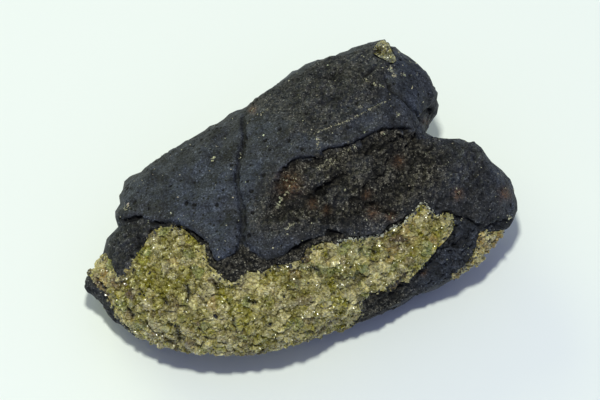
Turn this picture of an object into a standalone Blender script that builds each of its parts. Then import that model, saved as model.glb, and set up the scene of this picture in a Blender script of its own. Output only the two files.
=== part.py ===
"""A small volcanic bomb: a crust of black basalt wrapped round a nodule of green dunite.

Run it with blender --background --python part.py, or from Blender's text editor.

The scene is in metres, with +Z up and the stone resting on z = 0. Sizes below are in millimetres.
The stone is described as it is seen from the front and from above, at VIEW_ELEVATION: u runs to the
right across that view, v up it, and n out of it towards the eye. In space, u is +X.
"""

import math

import bmesh
import bpy
import numpy as np
from mathutils import Matrix, Vector, noise

MM = 0.001
VIEW_ELEVATION = math.radians(60.0)
SIN_E, COS_E = math.sin(VIEW_ELEVATION), math.cos(VIEW_ELEVATION)
TO_VIEW = np.array([[1, 0, 0], [0, SIN_E, COS_E], [0, -COS_E, SIN_E]])

# The two lobes of the bomb, as sections across them from left to right. Each section is
# (x, v of its upper edge, v of its lower edge, height of its crown, height of its underside).
MAIN_LOBE = [
    (-54.4, -20.8, -23.8, 12.0, 9.0),
    (-53.4, -19.0, -24.6, 14.5, 7.0),
    (-52.0, -17.0, -25.2, 16.0, 6.0),
    (-50.0, -14.8, -26.3, 18.5, 4.0),
    (-48.6, -12.0, -27.6, 20.5, 3.0),
    (-47.5, -8.0, -28.8, 22.5, 2.5),
    (-46.2, -4.5, -30.2, 25.0, 2.0),
    (-45.4, 0.6, -31.0, 27.0, 1.5),
    (-44.0, 4.2, -31.6, 29.0, 1.0),
    (-39.0, 7.6, -35.2, 32.0, 0.0),
    (-33.0, 12.2, -37.6, 34.5, -0.5),
    (-24.0, 17.5, -38.8, 37.0, -0.8),
    (-15.0, 22.3, -38.7, 39.0, -0.8),
    (-6.0, 29.0, -37.2, 41.0, -0.8),
    (3.0, 34.0, -34.4, 42.0, -0.8),
    (12.0, 37.5, -29.0, 42.0, -0.5),
    (18.0, 39.6, -22.0, 41.0, 2.0),
    (21.0, 40.4, -15.0, 40.0, 5.0),
    (24.0, 38.4, -6.0, 38.5, 8.0),
    (27.0, 36.4, 4.0, 37.0, 11.0),
    (30.0, 33.6, 13.0, 35.0, 14.0),
    (32.0, 31.0, 18.6, 33.0, 16.5),
    (33.6, 29.0, 20.6, 31.0, 18.5),
    (35.0, 26.4, 22.4, 28.0, 21.5),
]
SIDE_LOBE = [
    (0.0, -6.0, -34.0, 30.0, -0.5),
    (6.0, 0.0, -33.2, 33.0, -0.8),
    (12.0, 6.0, -31.6, 35.0, -0.8),
    (18.0, 11.0, -30.0, 36.0, -0.8),
    (24.0, 14.2, -26.6, 36.0, -0.6),
    (30.0, 15.8, -23.2, 35.0, 0.0),
    (36.0, 15.1, -21.2, 34.0, 1.0),
    (42.0, 14.8, -17.6, 32.0, 3.0),
    (45.0, 13.2, -16.2, 30.0, 4.5),
    (48.0, 9.4, -13.2, 27.0, 6.5),
    (51.0, 7.0, -10.0, 24.0, 9.0),
    (53.0, 3.6, -6.7, 20.5, 12.0),
    (54.2, 0.0, -2.8, 17.5, 14.5),
]
SECTION_POWER = 2.3  # 2 is an ellipse; more than that is squarer
SECTION_STEP = 1.2
SECTION_POINTS = 56

# What lies on the stone, as outlines and lines of (u, v).
FLOW = [
    (-60.0, -3.0), (-46.5, -3.6), (-43.5, -4.6), (-39.3, -4.0), (-36.6, -5.3), (-31.3, -5.7),
    (-26.0, -8.0), (-22.3, -11.0), (-21.3, -14.5), (-20.4, -15.1), (-18.3, -14.0), (-15.8, -13.3),
    (-14.8, -10.8), (-12.5, -11.8), (-10.6, -13.8), (-8.3, -14.7), (-4.1, -13.4), (0.5, -10.7),
    (4.7, -9.3), (7.2, -7.6), (10.8, -8.5), (14.2, -9.2), (20.0, -8.4), (22.0, -6.6),
    (24.6, -4.8), (27.6, -2.8), (30.0, -0.3), (34.0, -2.6), (37.5, -3.2), (46.0, -6.6), (60.0, -2.0),
    (60.0, 60.0), (-60.0, 60.0),
]
OVERHANG = [
    (-8.0, -1.5), (-6.4, 2.2), (-6.1, 4.7), (-4.3, 7.8), (-0.4, 10.2), (3.3, 10.2), (5.9, 12.2),
    (9.5, 12.8), (15.8, 15.0), (19.7, 17.1), (22.9, 17.5), (29.3, 16.3),
]
HOLLOW = OVERHANG + [
    (32.0, 13.0), (33.5, 8.0), (31.0, 3.0), (26.0, 0.8), (20.0, -2.5), (14.0, -4.0), (6.0, -4.6),
    (0.0, -5.2), (-5.0, -5.2), (-8.5, -4.4),
]
HOLLOW_LUMP = [
    (-3.5, 2.5), (-2.0, 6.5), (3.5, 8.8), (9.0, 9.2), (11.7, 7.2), (9.0, 4.6), (6.5, 2.8), (1.5, 1.2),
]
WINDOW = [
    (-54.5, -18.0), (-51.8, -16.7), (-49.5, -13.5), (-47.0, -15.6), (-45.8, -18.2), (-44.7, -19.5),
    (-42.5, -18.2), (-41.2, -15.5), (-39.2, -12.5), (-37.5, -10.0), (-36.2, -7.8), (-34.2, -7.0),
    (-31.2, -6.8), (-29.0, -7.3), (-27.0, -9.0), (-25.2, -11.0), (-23.5, -11.8), (-23.2, -14.5),
    (-22.7, -16.2), (-21.0, -17.5), (-19.5, -19.2), (-17.8, -20.5), (-15.8, -20.5), (-14.2, -19.2),
    (-12.5, -18.0), (-9.5, -18.2), (-6.2, -16.5), (-2.5, -15.8), (1.2, -14.5), (1.8, -12.5),
    (5.5, -10.8), (7.8, -10.8), (9.5, -11.3), (11.5, -10.0), (15.0, -9.8), (20.0, -9.2),
    (22.5, -7.8), (25.0, -6.5), (27.5, -4.0), (30.0, -1.2), (31.5, -2.2), (33.5, -4.2),
    (35.0, -4.2), (37.0, -3.8), (37.8, -7.0), (36.2, -9.5), (33.8, -11.8), (31.2, -14.8),
    (28.5, -18.0), (26.2, -19.8), (24.2, -20.2), (23.5, -21.5), (18.8, -22.5), (16.5, -23.5),
    (15.0, -25.5), (15.5, -27.5), (13.5, -30.0), (11.0, -34.0), (0.0, -48.0), (-36.0, -48.0),
    (-40.0, -34.5), (-41.2, -32.5), (-43.8, -30.0), (-45.8, -27.5), (-47.0, -24.5), (-48.5, -22.5),
    (-50.5, -20.8), (-52.0, -18.8),
]
END_WINDOW = [
    (56.0, -2.0), (53.8, -5.0), (52.8, -7.0), (51.0, -7.8), (48.8, -8.2), (46.8, -8.0),
    (45.0, -8.2), (44.2, -10.0), (43.5, -13.0), (42.0, -15.8), (39.2, -17.5), (38.0, -18.8),
    (40.0, -24.0), (56.0, -16.0),
]
CHIP_WINDOW = [
    (20.3, 40.0), (21.8, 39.1), (22.9, 36.6), (23.9, 34.8), (22.8, 34.3), (20.3, 35.6),
    (18.3, 36.9), (18.8, 38.1),
]
CRACK = [
    (-14.2, 24.0), (-14.2, 20.0), (-13.7, 15.4), (-14.5, 12.6), (-15.0, 9.8), (-15.5, 6.2),
    (-15.3, 2.6), (-14.7, -0.4), (-14.2, -3.0), (-14.2, -5.5), (-14.6, -11.0),
]
SHOULDER = [(42.8, 14.2), (44.8, 10.5), (46.0, 5.5), (45.5, 0.0), (44.5, -6.0)]
CAP_EDGE = [(22.0, 33.0), (23.0, 28.0), (27.4, 24.0), (30.5, 18.5)]

# How far each of those stands out or lies in, and how wide its edge is.
FLOW_RISE, FLOW_EDGE = 2.2, 2.4
FLOW_FADE, FLOW_FADE_FROM, FLOW_FADE_TO = 7.0, 29.0, 38.0  # its edge is softer on the side lobe
HOLLOW_DEPTH, HOLLOW_FADE = 2.6, 7.0
HOLLOW_WALL, HOLLOW_SLOPE = 0.8, 6.0
HOLLOW_ROUGHNESS = [(3.5, 0.9), (1.8, 0.5)]  # size and height of its broken lumps
LUMP_RISE, LUMP_EDGE = 1.5, 1.6
CRUST_RISE, CRUST_EDGE = 0.9, 0.9
CRACK_DEPTH, CRACK_WIDTH = 0.9, 0.8
CAP_DEPTH, CAP_WIDTH = 0.6, 1.2
SHOULDER_RISE, SHOULDER_WIDTH = 0.9, 2.5

# At the lower right the crust has come away beside the nodule, which stands proud of it there.
STEP_DOWN, STEP_REACH = 2.2, 7.0
STEP_LINE, STEP_SLOPE, STEP_BLEND = -24.0, 0.55, 3.0  # it lies under v = STEP_LINE + STEP_SLOPE * u
STEP_LEFT, STEP_FULL = 8.0, 16.0

# Where the underside and the back are worn flatter: the way that each flat faces, and how deep it cuts.
WORN_FLATS = [
    ((0.1, 0.80, -0.60), 4.5),
    ((-0.65, 0.62, -0.45), 4.0),
    ((0.62, 0.62, -0.48), 4.0),
    ((-0.72, -0.25, -0.65), 3.5),
    ((0.70, -0.35, -0.62), 3.5),
    ((-0.05, -0.72, -0.70), 2.5),
]
WEAR = 0.8  # share of what stands past a flat that is gone

# The nodule and the chip are plugs through the crust: from a floor inside the stone, in n, to its surface.
PLUG_OUTER = 70.0
WINDOW_FLOOR, END_FLOOR, CHIP_FLOOR = 24.0, 12.0, 14.0
CORE_CENTRE, CORE_RADII = (36.0, -8.0, 21.0), (16.0, 6.5, 6.5)
GAP = 0.3  # between the nodule or the chip and the crust
SHORTEST_MITER = 0.4  # keeps a sharp corner from growing out too far
MERGE, SHARED = 1e-6, 1e-7  # metres

# The lumps of cooled lava: the size of each kind, and how far it stands out at the front and the back.
BROAD_SIZE, BROAD_FRONT, BROAD_BACK = 14.0, 0.7, 1.8
FINE_SIZE, FINE_FRONT, FINE_BACK = 5.5, 0.45, 0.95
LEDGE_SIZE, LEDGE_LEVELS, LEDGE_HEIGHT = 21.0, (-0.18, 0.12, 0.34), 1.3
LEDGE_STEP = 0.05
CREASE_SIZE, CREASE_WIDTH, CREASE_DEPTH = 17.0, 0.07, 1.1

# How a surface lies to the eye, as the share of its normal along n.
FACING = (-0.05, 0.3)
TURNED_AWAY = (0.1, 0.5)
EDGE_ON, EDGE_CALM = 0.35, 0.7  # the lumps are lower where the surface is seen edge-on

VOXEL, SMOOTHING = 1.1, 8  # mesh size of the joined lobes, and how often it is smoothed
FACES = 6250  # triangles of the whole stone before it is parted


def clear_scene():
    for obj in list(bpy.data.objects):
        bpy.data.objects.remove(obj)


def new_collection(name):
    collection = bpy.data.collections.new(name)
    bpy.context.scene.collection.children.link(collection)
    return collection


def principled(name, colour, roughness):
    material = bpy.data.materials.new(name)
    material.use_nodes = True
    shader = material.node_tree.nodes["Principled BSDF"]
    shader.inputs["Base Color"].default_value = (*colour, 1.0)
    shader.inputs["Roughness"].default_value = roughness
    shader.inputs["Metallic"].default_value = 0.0
    return material


def add_object(name, mesh, collection):
    obj = bpy.data.objects.new(name, mesh)
    collection.objects.link(obj)
    return obj


def finished_mesh(obj, name):
    """The mesh of obj with its modifiers, as a mesh of its own."""
    graph = bpy.context.evaluated_depsgraph_get()
    mesh = bpy.data.meshes.new_from_object(obj.evaluated_get(graph))
    mesh.name = name
    return mesh


def section_ring(row):
    """One section: a squarish ellipse that just fills its place in the view."""
    x, upper, lower, crown, underside = row
    power = SECTION_POWER / (SECTION_POWER - 1)
    half_view, half_height = (upper - lower) / 2, (crown - underside) / 2
    middle_z = (crown + underside) / 2
    middle_y = ((upper + lower) / 2 - middle_z * COS_E) / SIN_E
    left_over = half_view**power - (half_height * COS_E) ** power
    half_depth = max(left_over, 0.05) ** (1 / power) / SIN_E
    ring = []
    for k in range(SECTION_POINTS):
        angle = 2 * math.pi * k / SECTION_POINTS
        across, up = math.cos(angle), math.sin(angle)
        y = middle_y + half_depth * math.copysign(abs(across) ** (2 / SECTION_POWER), across)
        z = middle_z + half_height * math.copysign(abs(up) ** (2 / SECTION_POWER), up)
        ring.append((x * MM, y * MM, z * MM))
    return ring


def lobe_mesh(name, sections):
    """A loft through the sections, closed at both ends."""
    table = np.array(sections)
    count = int((table[-1, 0] - table[0, 0]) / SECTION_STEP) + 1
    places = np.unique(np.concatenate([np.linspace(table[0, 0], table[-1, 0], count), table[:, 0]]))
    columns = [np.interp(places, table[:, 0], table[:, k]) for k in range(1, 5)]
    bm = bmesh.new()
    rings = [
        [bm.verts.new(point) for point in section_ring(row)]
        for row in zip(places, *columns)
    ]
    for ring, following in zip(rings, rings[1:]):
        for k in range(SECTION_POINTS):
            after = (k + 1) % SECTION_POINTS
            bm.faces.new((ring[k], ring[after], following[after], following[k]))
    bm.faces.new(rings[0])
    bm.faces.new(rings[-1])
    bmesh.ops.recalc_face_normals(bm, faces=bm.faces)
    mesh = bpy.data.meshes.new(name)
    bm.to_mesh(mesh)
    bm.free()
    return mesh


def distance_to_line(u, v, line, closed=False):
    """Each point's distance to a line of straight runs, in millimetres."""
    ends = line[1:] + line[:1] if closed else line[1:]
    best = np.full(len(u), np.inf)
    for (au, av), (bu, bv) in zip(line, ends):
        du, dv = bu - au, bv - av
        along = np.clip(((u - au) * du + (v - av) * dv) / (du * du + dv * dv), 0, 1)
        best = np.minimum(best, np.hypot(u - au - along * du, v - av - along * dv))
    return best


def depth_inside(u, v, outline):
    """How far each point lies inside the outline, below 0 outside it."""
    inside = np.zeros(len(u), bool)
    for (au, av), (bu, bv) in zip(outline, outline[1:] + outline[:1]):
        if av == bv:
            continue
        crosses = (av > v) != (bv > v)
        inside ^= crosses & (u < (bu - au) * (v - av) / (bv - av) + au)
    distance = distance_to_line(u, v, outline, closed=True)
    return np.where(inside, distance, -distance)


def ramp(value, low, high):
    """0 below low, 1 above high, and a smooth rise between them."""
    t = np.clip((value - low) / (high - low), 0, 1)
    return t * t * (3 - 2 * t)


def bump(distance, width):
    """1 on a line, and falling away smoothly to either side of it."""
    return np.exp(-((distance / width) ** 2))


def round_edge(depth, radius):
    """The profile of a layer with a rounded edge: 0 outside it, 1 from radius inwards."""
    return np.sqrt(1 - (1 - np.clip(depth / radius, 0, 1)) ** 2)


def lumps(points, size, seed):
    """Smooth noise from -1 to 1 with lumps of about this size in millimetres."""
    shift = Vector((seed * 17.3, seed * 5.1, seed * 9.7))
    return np.array([noise.noise(Vector(p) / size + shift) for p in points])


def hollow_depth(u, v, points):
    """The broken hollow: steep under the overhang, fading out below it, with one lump inside."""
    reach = distance_to_line(u, v, OVERHANG)
    slope = HOLLOW_WALL + HOLLOW_SLOPE * ramp(reach, HOLLOW_WALL, HOLLOW_SLOPE)
    share = ramp(depth_inside(u, v, HOLLOW) / slope, 0, 1)
    depth = HOLLOW_DEPTH * (1 + bump(reach, HOLLOW_FADE)) / 2
    lump = LUMP_RISE * ramp(depth_inside(u, v, HOLLOW_LUMP), 0, LUMP_EDGE)
    rough = sum(height * lumps(points, size, size) for size, height in HOLLOW_ROUGHNESS)
    return share * (depth - lump - rough)


def relief(u, v, points):
    """How far the surface stands out of the plain lobes towards the eye, in millimetres."""
    flow_edge = FLOW_EDGE + FLOW_FADE * ramp(u, FLOW_FADE_FROM, FLOW_FADE_TO)
    flow = round_edge(depth_inside(u, v, FLOW), flow_edge)
    window = depth_inside(u, v, WINDOW)
    end_window = depth_inside(u, v, END_WINDOW)
    crust = 1 - ramp(np.maximum(window, end_window), -CRUST_EDGE, 0.0)
    below = ramp(STEP_LINE + STEP_SLOPE * u - v, 0.0, STEP_BLEND) * ramp(u, STEP_LEFT, STEP_FULL)
    step = below * (1 - ramp(-window, 0.0, STEP_REACH)) * (window < 0)
    return (
        FLOW_RISE * flow
        + CRUST_RISE * crust
        - hollow_depth(u, v, points)
        - STEP_DOWN * step
        - CRACK_DEPTH * bump(distance_to_line(u, v, CRACK), CRACK_WIDTH) * flow
        - CAP_DEPTH * bump(distance_to_line(u, v, CAP_EDGE), CAP_WIDTH)
        + SHOULDER_RISE * bump(distance_to_line(u, v, SHOULDER), SHOULDER_WIDTH)
    )


def back_folds(points):
    """The thin layers of lava that lap over each other on the back, and the creases between them."""
    height = lumps(points, LEDGE_SIZE, 5)
    layers = sum(ramp(height, level, level + LEDGE_STEP) for level in LEDGE_LEVELS)
    crease = bump(lumps(points, CREASE_SIZE, 6), CREASE_WIDTH)
    return LEDGE_HEIGHT * (layers - len(LEDGE_LEVELS) / 2) - CREASE_DEPTH * crease


def wear_flats(points):
    """Flattens the underside and the back, as ground that the bomb lay on wears it."""
    for direction, cut in WORN_FLATS:
        way = np.array(direction) / np.linalg.norm(direction)
        reach = points @ way
        past = np.clip(reach - (reach.max() - cut), 0, None)
        points = points - np.outer(past * WEAR, way)
    return points


def carve(mesh):
    """Gives the joined lobes their layers, hollow and crack, and the lumps of cooled lava."""
    points = np.array([tuple(vertex.co) for vertex in mesh.vertices]) / MM
    normals = np.array([tuple(vertex.normal) for vertex in mesh.vertices])
    seen = points @ TO_VIEW.T
    towards_eye = normals @ TO_VIEW[2]
    facing = ramp(towards_eye, *FACING)
    turned_away = ramp(-towards_eye, *TURNED_AWAY)
    edge_on = 1 - ramp(np.abs(towards_eye), 0.0, EDGE_ON)
    broad = BROAD_FRONT + (BROAD_BACK - BROAD_FRONT) * turned_away
    fine = FINE_FRONT + (FINE_BACK - FINE_FRONT) * turned_away
    outward = broad * lumps(points, BROAD_SIZE, 1) + fine * lumps(points, FINE_SIZE, 2)
    outward += back_folds(points) * turned_away
    points = wear_flats(points)
    points = points + normals * (outward * (1 - EDGE_CALM * edge_on))[:, None]
    points = points + np.outer(relief(seen[:, 0], seen[:, 1], points) * facing, TO_VIEW[2])
    for vertex, point in zip(mesh.vertices, points * MM):
        vertex.co = point


def cut_flat(mesh):
    """Wears the underside flat at z = 0, where the stone rests."""
    bm = bmesh.new()
    bm.from_mesh(mesh)
    geometry = bm.verts[:] + bm.edges[:] + bm.faces[:]
    cut = bmesh.ops.bisect_plane(
        bm, geom=geometry, dist=SHARED, plane_co=(0, 0, 0), plane_no=(0, 0, 1), clear_inner=True
    )
    rim = [item for item in cut["geom_cut"] if isinstance(item, bmesh.types.BMEdge)]
    bmesh.ops.contextual_create(bm, geom=rim)
    bmesh.ops.triangulate(bm, faces=bm.faces)
    bmesh.ops.recalc_face_normals(bm, faces=bm.faces)
    bm.to_mesh(mesh)
    bm.free()


def whole_stone(helpers):
    """The bomb in one piece, with its relief, as a faceted solid."""
    stone = add_object("stone", lobe_mesh("main_lobe", MAIN_LOBE), helpers)
    side = add_object("side_lobe", lobe_mesh("side_lobe", SIDE_LOBE), helpers)
    join = stone.modifiers.new("join", "BOOLEAN")
    join.operation, join.object = "UNION", side
    remesh = stone.modifiers.new("even", "REMESH")
    remesh.mode, remesh.voxel_size = "VOXEL", VOXEL * MM
    smooth = stone.modifiers.new("blend", "SMOOTH")
    smooth.factor, smooth.iterations = 0.5, SMOOTHING
    stone.data = finished_mesh(stone, "stone")
    stone.modifiers.clear()
    carve(stone.data)
    decimate = stone.modifiers.new("facets", "DECIMATE")
    decimate.ratio = FACES / (2 * len(stone.data.polygons))
    stone.data = finished_mesh(stone, "stone")
    stone.modifiers.clear()
    cut_flat(stone.data)
    return stone


def grown(outline, growth):
    """The outline moved outwards by growth."""
    points = [Vector(p) for p in outline]
    area = sum(a.cross(b) for a, b in zip(points, points[1:] + points[:1]))
    side = math.copysign(1.0, area)
    moved = []
    for k, point in enumerate(points):
        before = (point - points[k - 1]).normalized()
        after = (points[(k + 1) % len(points)] - point).normalized()
        outward = Vector((before.y + after.y, -before.x - after.x)) * side
        miter = outward.normalized() / max(outward.length / 2, SHORTEST_MITER)
        moved.append(point + miter * growth)
    return moved


def prism(name, outline, floor, growth, helpers):
    """A straight-sided plug with this outline in the view, from floor out past the surface."""
    curve = bpy.data.curves.new(name, "CURVE")
    curve.dimensions, curve.fill_mode = "2D", "BOTH"
    curve.extrude = (PLUG_OUTER - floor + growth) / 2 * MM
    spline = curve.splines.new("POLY")
    points = grown(outline, growth)
    spline.points.add(len(points) - 1)
    for point, (u, v) in zip(spline.points, points):
        point.co = (u * MM, v * MM, 0.0, 1.0)
    spline.use_cyclic_u = True
    drawn = add_object(name + "_outline", curve, helpers)
    mesh = finished_mesh(drawn, name)
    bpy.data.objects.remove(drawn)
    middle = (PLUG_OUTER + floor - growth) / 2
    bm = bmesh.new()
    bm.from_mesh(mesh)
    bmesh.ops.remove_doubles(bm, verts=bm.verts, dist=MERGE)
    bmesh.ops.translate(bm, verts=bm.verts, vec=(0, 0, middle * MM))
    bmesh.ops.transform(bm, verts=bm.verts, matrix=Matrix(TO_VIEW.T.tolist()).to_4x4())
    bmesh.ops.recalc_face_normals(bm, faces=bm.faces)
    bm.to_mesh(mesh)
    bm.free()
    return add_object(name, mesh, helpers)


def core(name, growth, helpers):
    """The hidden stretch of the nodule between its two windows."""
    bm = bmesh.new()
    bmesh.ops.create_uvsphere(bm, u_segments=24, v_segments=12, radius=1.0)
    scale = Matrix.Diagonal([(r + growth) * MM for r in CORE_RADII] + [1.0])
    place = Matrix.Translation(Vector(CORE_CENTRE) * MM)
    turn = Matrix(TO_VIEW.T.tolist()).to_4x4()
    bmesh.ops.transform(bm, verts=bm.verts, matrix=turn @ place @ scale)
    mesh = bpy.data.meshes.new(name)
    bm.to_mesh(mesh)
    bm.free()
    return add_object(name, mesh, helpers)


def boolean(obj, operation, other):
    modifier = obj.modifiers.new(operation.lower(), "BOOLEAN")
    modifier.operation, modifier.object, modifier.solver = operation, other, "EXACT"


def nodule_form(name, growth, helpers):
    """The place that the nodule takes up: its two windows, joined inside the stone."""
    form = prism(name, WINDOW, WINDOW_FLOOR, growth, helpers)
    boolean(form, "UNION", core(name + "_core", growth, helpers))
    boolean(form, "UNION", prism(name + "_end", END_WINDOW, END_FLOOR, growth, helpers))
    return form


def keep_largest(mesh):
    """Drops the crumbs that a cut leaves beside the main body."""
    bm = bmesh.new()
    bm.from_mesh(mesh)
    bmesh.ops.remove_doubles(bm, verts=bm.verts, dist=MERGE)
    left, groups = set(bm.verts), []
    while left:
        seed = left.pop()
        group, queue = {seed}, [seed]
        while queue:
            for edge in queue.pop().link_edges:
                for vertex in edge.verts:
                    if vertex in left:
                        left.discard(vertex)
                        group.add(vertex)
                        queue.append(vertex)
        groups.append(group)
    biggest = max(groups, key=len)
    crumbs = [vertex for group in groups if group is not biggest for vertex in group]
    bmesh.ops.delete(bm, geom=crumbs, context="VERTS")
    bmesh.ops.triangulate(bm, faces=bm.faces)
    bm.to_mesh(mesh)
    bm.free()


def piece(name, stone, steps, material, parts):
    """A part of the stone, cut by each (operation, cutter) in turn."""
    obj = add_object(name, stone.data.copy(), parts)
    for operation, cutter in steps:
        boolean(obj, operation, cutter)
    obj.data = finished_mesh(obj, name)
    obj.modifiers.clear()
    keep_largest(obj.data)
    obj.data.materials.clear()
    obj.data.materials.append(material)
    return obj


def centre_over_origin(pieces):
    """Moves the pieces together until their common box stands centred on the origin."""
    corners = np.array([tuple(vertex.co) for obj in pieces for vertex in obj.data.vertices])
    middle = (corners.min(axis=0) + corners.max(axis=0)) / 2
    for obj in pieces:
        obj.data.transform(Matrix.Translation((-middle[0], -middle[1], -corners[:, 2].min())))


def main():
    clear_scene()
    helpers, parts = new_collection("cutters"), new_collection("volcanic_bomb")
    stone = whole_stone(helpers)
    basalt = principled("basalt", (0.045, 0.05, 0.056), 0.7)
    dunite = principled("dunite", (0.22, 0.20, 0.085), 0.45)
    nodule = nodule_form("nodule_form", 0.0, helpers)
    pocket = nodule_form("nodule_pocket", GAP, helpers)
    chip = prism("chip_form", CHIP_WINDOW, CHIP_FLOOR, 0.0, helpers)
    socket = prism("chip_socket", CHIP_WINDOW, CHIP_FLOOR, GAP, helpers)
    piece("basalt_crust", stone, [("DIFFERENCE", pocket), ("DIFFERENCE", socket)], basalt, parts)
    piece("dunite_nodule", stone, [("INTERSECT", nodule)], dunite, parts)
    piece("dunite_chip", stone, [("INTERSECT", chip)], dunite, parts)
    centre_over_origin(list(parts.objects))
    for helper in helpers.objects:
        helper.hide_render = True
        helper.display_type = "WIRE"


main()
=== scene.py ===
# %% [markdown]
# # A small volcanic bomb with a nodule of dunite
#
# A volcanic bomb is a clot of lava that was thrown out while it was still soft. This one carries
# a nodule of dunite, a rock of the deep mantle that is nearly all olivine, in grains like coarse
# sugar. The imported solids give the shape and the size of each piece. This lesson gives them their
# surfaces: the smooth and the broken lava, the sugary nodule, and the crumbs caught in the crust.

# %% Load the frame
import itertools
import math

import bpy
import numpy as np
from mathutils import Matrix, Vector, noise
from mathutils.bvhtree import BVHTree
from mathutils.kdtree import KDTree


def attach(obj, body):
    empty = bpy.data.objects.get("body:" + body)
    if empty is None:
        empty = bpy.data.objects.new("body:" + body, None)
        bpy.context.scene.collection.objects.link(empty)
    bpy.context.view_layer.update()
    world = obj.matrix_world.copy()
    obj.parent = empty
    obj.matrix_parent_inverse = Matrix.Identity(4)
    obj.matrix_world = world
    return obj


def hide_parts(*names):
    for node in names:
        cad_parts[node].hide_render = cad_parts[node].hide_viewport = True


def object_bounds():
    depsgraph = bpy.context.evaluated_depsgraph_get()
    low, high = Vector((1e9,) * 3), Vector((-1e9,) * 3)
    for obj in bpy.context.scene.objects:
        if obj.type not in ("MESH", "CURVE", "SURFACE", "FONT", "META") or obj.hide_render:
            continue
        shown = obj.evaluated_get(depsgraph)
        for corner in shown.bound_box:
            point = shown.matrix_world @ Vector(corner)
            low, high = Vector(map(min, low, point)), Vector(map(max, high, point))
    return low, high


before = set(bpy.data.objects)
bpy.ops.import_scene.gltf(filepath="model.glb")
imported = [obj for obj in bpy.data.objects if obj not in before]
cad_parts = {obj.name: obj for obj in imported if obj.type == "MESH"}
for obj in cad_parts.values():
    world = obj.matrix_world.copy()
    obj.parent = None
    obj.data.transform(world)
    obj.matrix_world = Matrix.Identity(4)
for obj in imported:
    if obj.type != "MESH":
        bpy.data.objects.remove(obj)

cad_box = [list(corner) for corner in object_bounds()]
print("solids:", sorted(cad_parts), "box:", cad_box)

# %% [markdown]
# ## How the stone is looked at
#
# A rock has no straight lines to measure from, so its features are placed in a view of it: u runs
# to the right across the view, v up it, and n out of it towards the eye, all in millimetres. The
# view looks down at 60 degrees. One small matrix turns points of space into points of this view.

# %% The view's own axes
MM = 0.001
ELEVATION = math.radians(60)
TO_VIEW = np.array(
    [
        [1, 0, 0],
        [0, math.sin(ELEVATION), math.cos(ELEVATION)],
        [0, -math.cos(ELEVATION), math.sin(ELEVATION)],
    ]
)
AIM = np.array([-0.08, 11.55, 0.0])


def seen(points):
    """The u, v and n of points of space, all in millimetres."""
    return (points - AIM) @ TO_VIEW.T


def in_space(u, v, n):
    """The point of space, in millimetres, that lies at u, v and n."""
    return TO_VIEW.T @ np.array([u, v, n]) + AIM


print("the view looks at", AIM, "mm and along", -TO_VIEW[2])

# %% [markdown]
# ## Small tools
#
# The same few steps come back for every piece: choose an object, add a modifier and apply it, and
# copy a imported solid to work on. Each is a short function, so that the steps below read as what
# they do to the stone.

# %% Choose, copy and finish objects
MERGE_DISTANCE = 1e-6  # metres


def only(obj):
    """Selects this object alone and makes it active."""
    bpy.ops.object.select_all(action="DESELECT")
    obj.select_set(True)
    bpy.context.view_layer.objects.active = obj


def apply_modifier(obj, kind, **settings):
    """Adds a modifier with these settings and applies it at once."""
    only(obj)
    modifier = obj.modifiers.new(kind.lower(), kind)
    for name, value in settings.items():
        setattr(modifier, name, value)
    bpy.ops.object.modifier_apply(modifier=modifier.name)


def copy_of_node(node, name):
    """A new object with the node's mesh, its loose triangles merged."""
    obj = bpy.data.objects.new(name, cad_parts[node].data.copy())
    bpy.context.scene.collection.objects.link(obj)
    obj.data.name = name
    obj.data.materials.clear()
    only(obj)
    bpy.ops.object.mode_set(mode="EDIT")
    bpy.ops.mesh.select_all(action="SELECT")
    bpy.ops.mesh.remove_doubles(threshold=MERGE_DISTANCE)
    bpy.ops.object.mode_set(mode="OBJECT")
    return obj


def triangles(obj):
    return sum(len(face.vertices) - 2 for face in obj.data.polygons)


# %% [markdown]
# Relief is worked out for all the points of a mesh together. Blender hands them over as one long
# row of numbers, and numpy moves that row far faster than a loop over the vertices would. A number
# that is stored on the points under a name can be read by a material later.

# %% Read and write a mesh's points


def points_of(obj):
    """All vertices in millimetres, one row each."""
    values = np.empty(len(obj.data.vertices) * 3)
    obj.data.vertices.foreach_get("co", values)
    return values.reshape(-1, 3) / MM


def normals_of(obj):
    values = np.empty(len(obj.data.vertices) * 3)
    obj.data.vertex_normals.foreach_get("vector", values)
    return values.reshape(-1, 3)


def set_points(obj, points):
    obj.data.vertices.foreach_set("co", (points * MM).ravel())
    obj.data.update()


def set_attribute(obj, name, values):
    """Stores one number, or one colour, for each vertex under a name that a material can read."""
    colour = np.ndim(values) == 2
    kind = "FLOAT_COLOR" if colour else "FLOAT"
    attribute = obj.data.attributes.new(name, kind, "POINT")
    attribute.data.foreach_set("color" if colour else "value", np.asarray(values, float).ravel())


def surface_of(obj):
    """A search tree of the object's surface, in millimetres."""
    points = [Vector(p) for p in points_of(obj)]
    return BVHTree.FromPolygons(points, [tuple(face.vertices) for face in obj.data.polygons])


def distances_to(surface, points):
    return np.array([surface.find_nearest(Vector(p))[3] for p in points])


# %% [markdown]
# ## Shapes by numbers
#
# Rock is not drawn point by point. It is described by rules: noise for the lumps, a distance to a
# line for a crack, and a smooth step for the edge of a layer. These helpers are the rules.

# %% Ramps, bumps, noise and distances


def ramp(value, low, high):
    """0 below low, 1 above high, and a smooth rise between them."""
    t = np.clip((value - low) / (high - low), 0, 1)
    return t * t * (3 - 2 * t)


def bump(distance, width):
    """1 on a line, and falling away smoothly to either side of it."""
    return np.exp(-((distance / width) ** 2))


def lumps(points, size, seed):
    """Smooth noise from -1 to 1, with lumps of about this size in millimetres."""
    shift = Vector((seed * 17.3, seed * 5.1, seed * 9.7))
    return np.array([noise.noise(Vector(p) / size + shift) for p in points])


def ridges(points, size, seed):
    """Noise from 0 to 1 with sharp crests, like broken lava."""
    return 1 - np.abs(lumps(points, size, seed)) * 2


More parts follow.
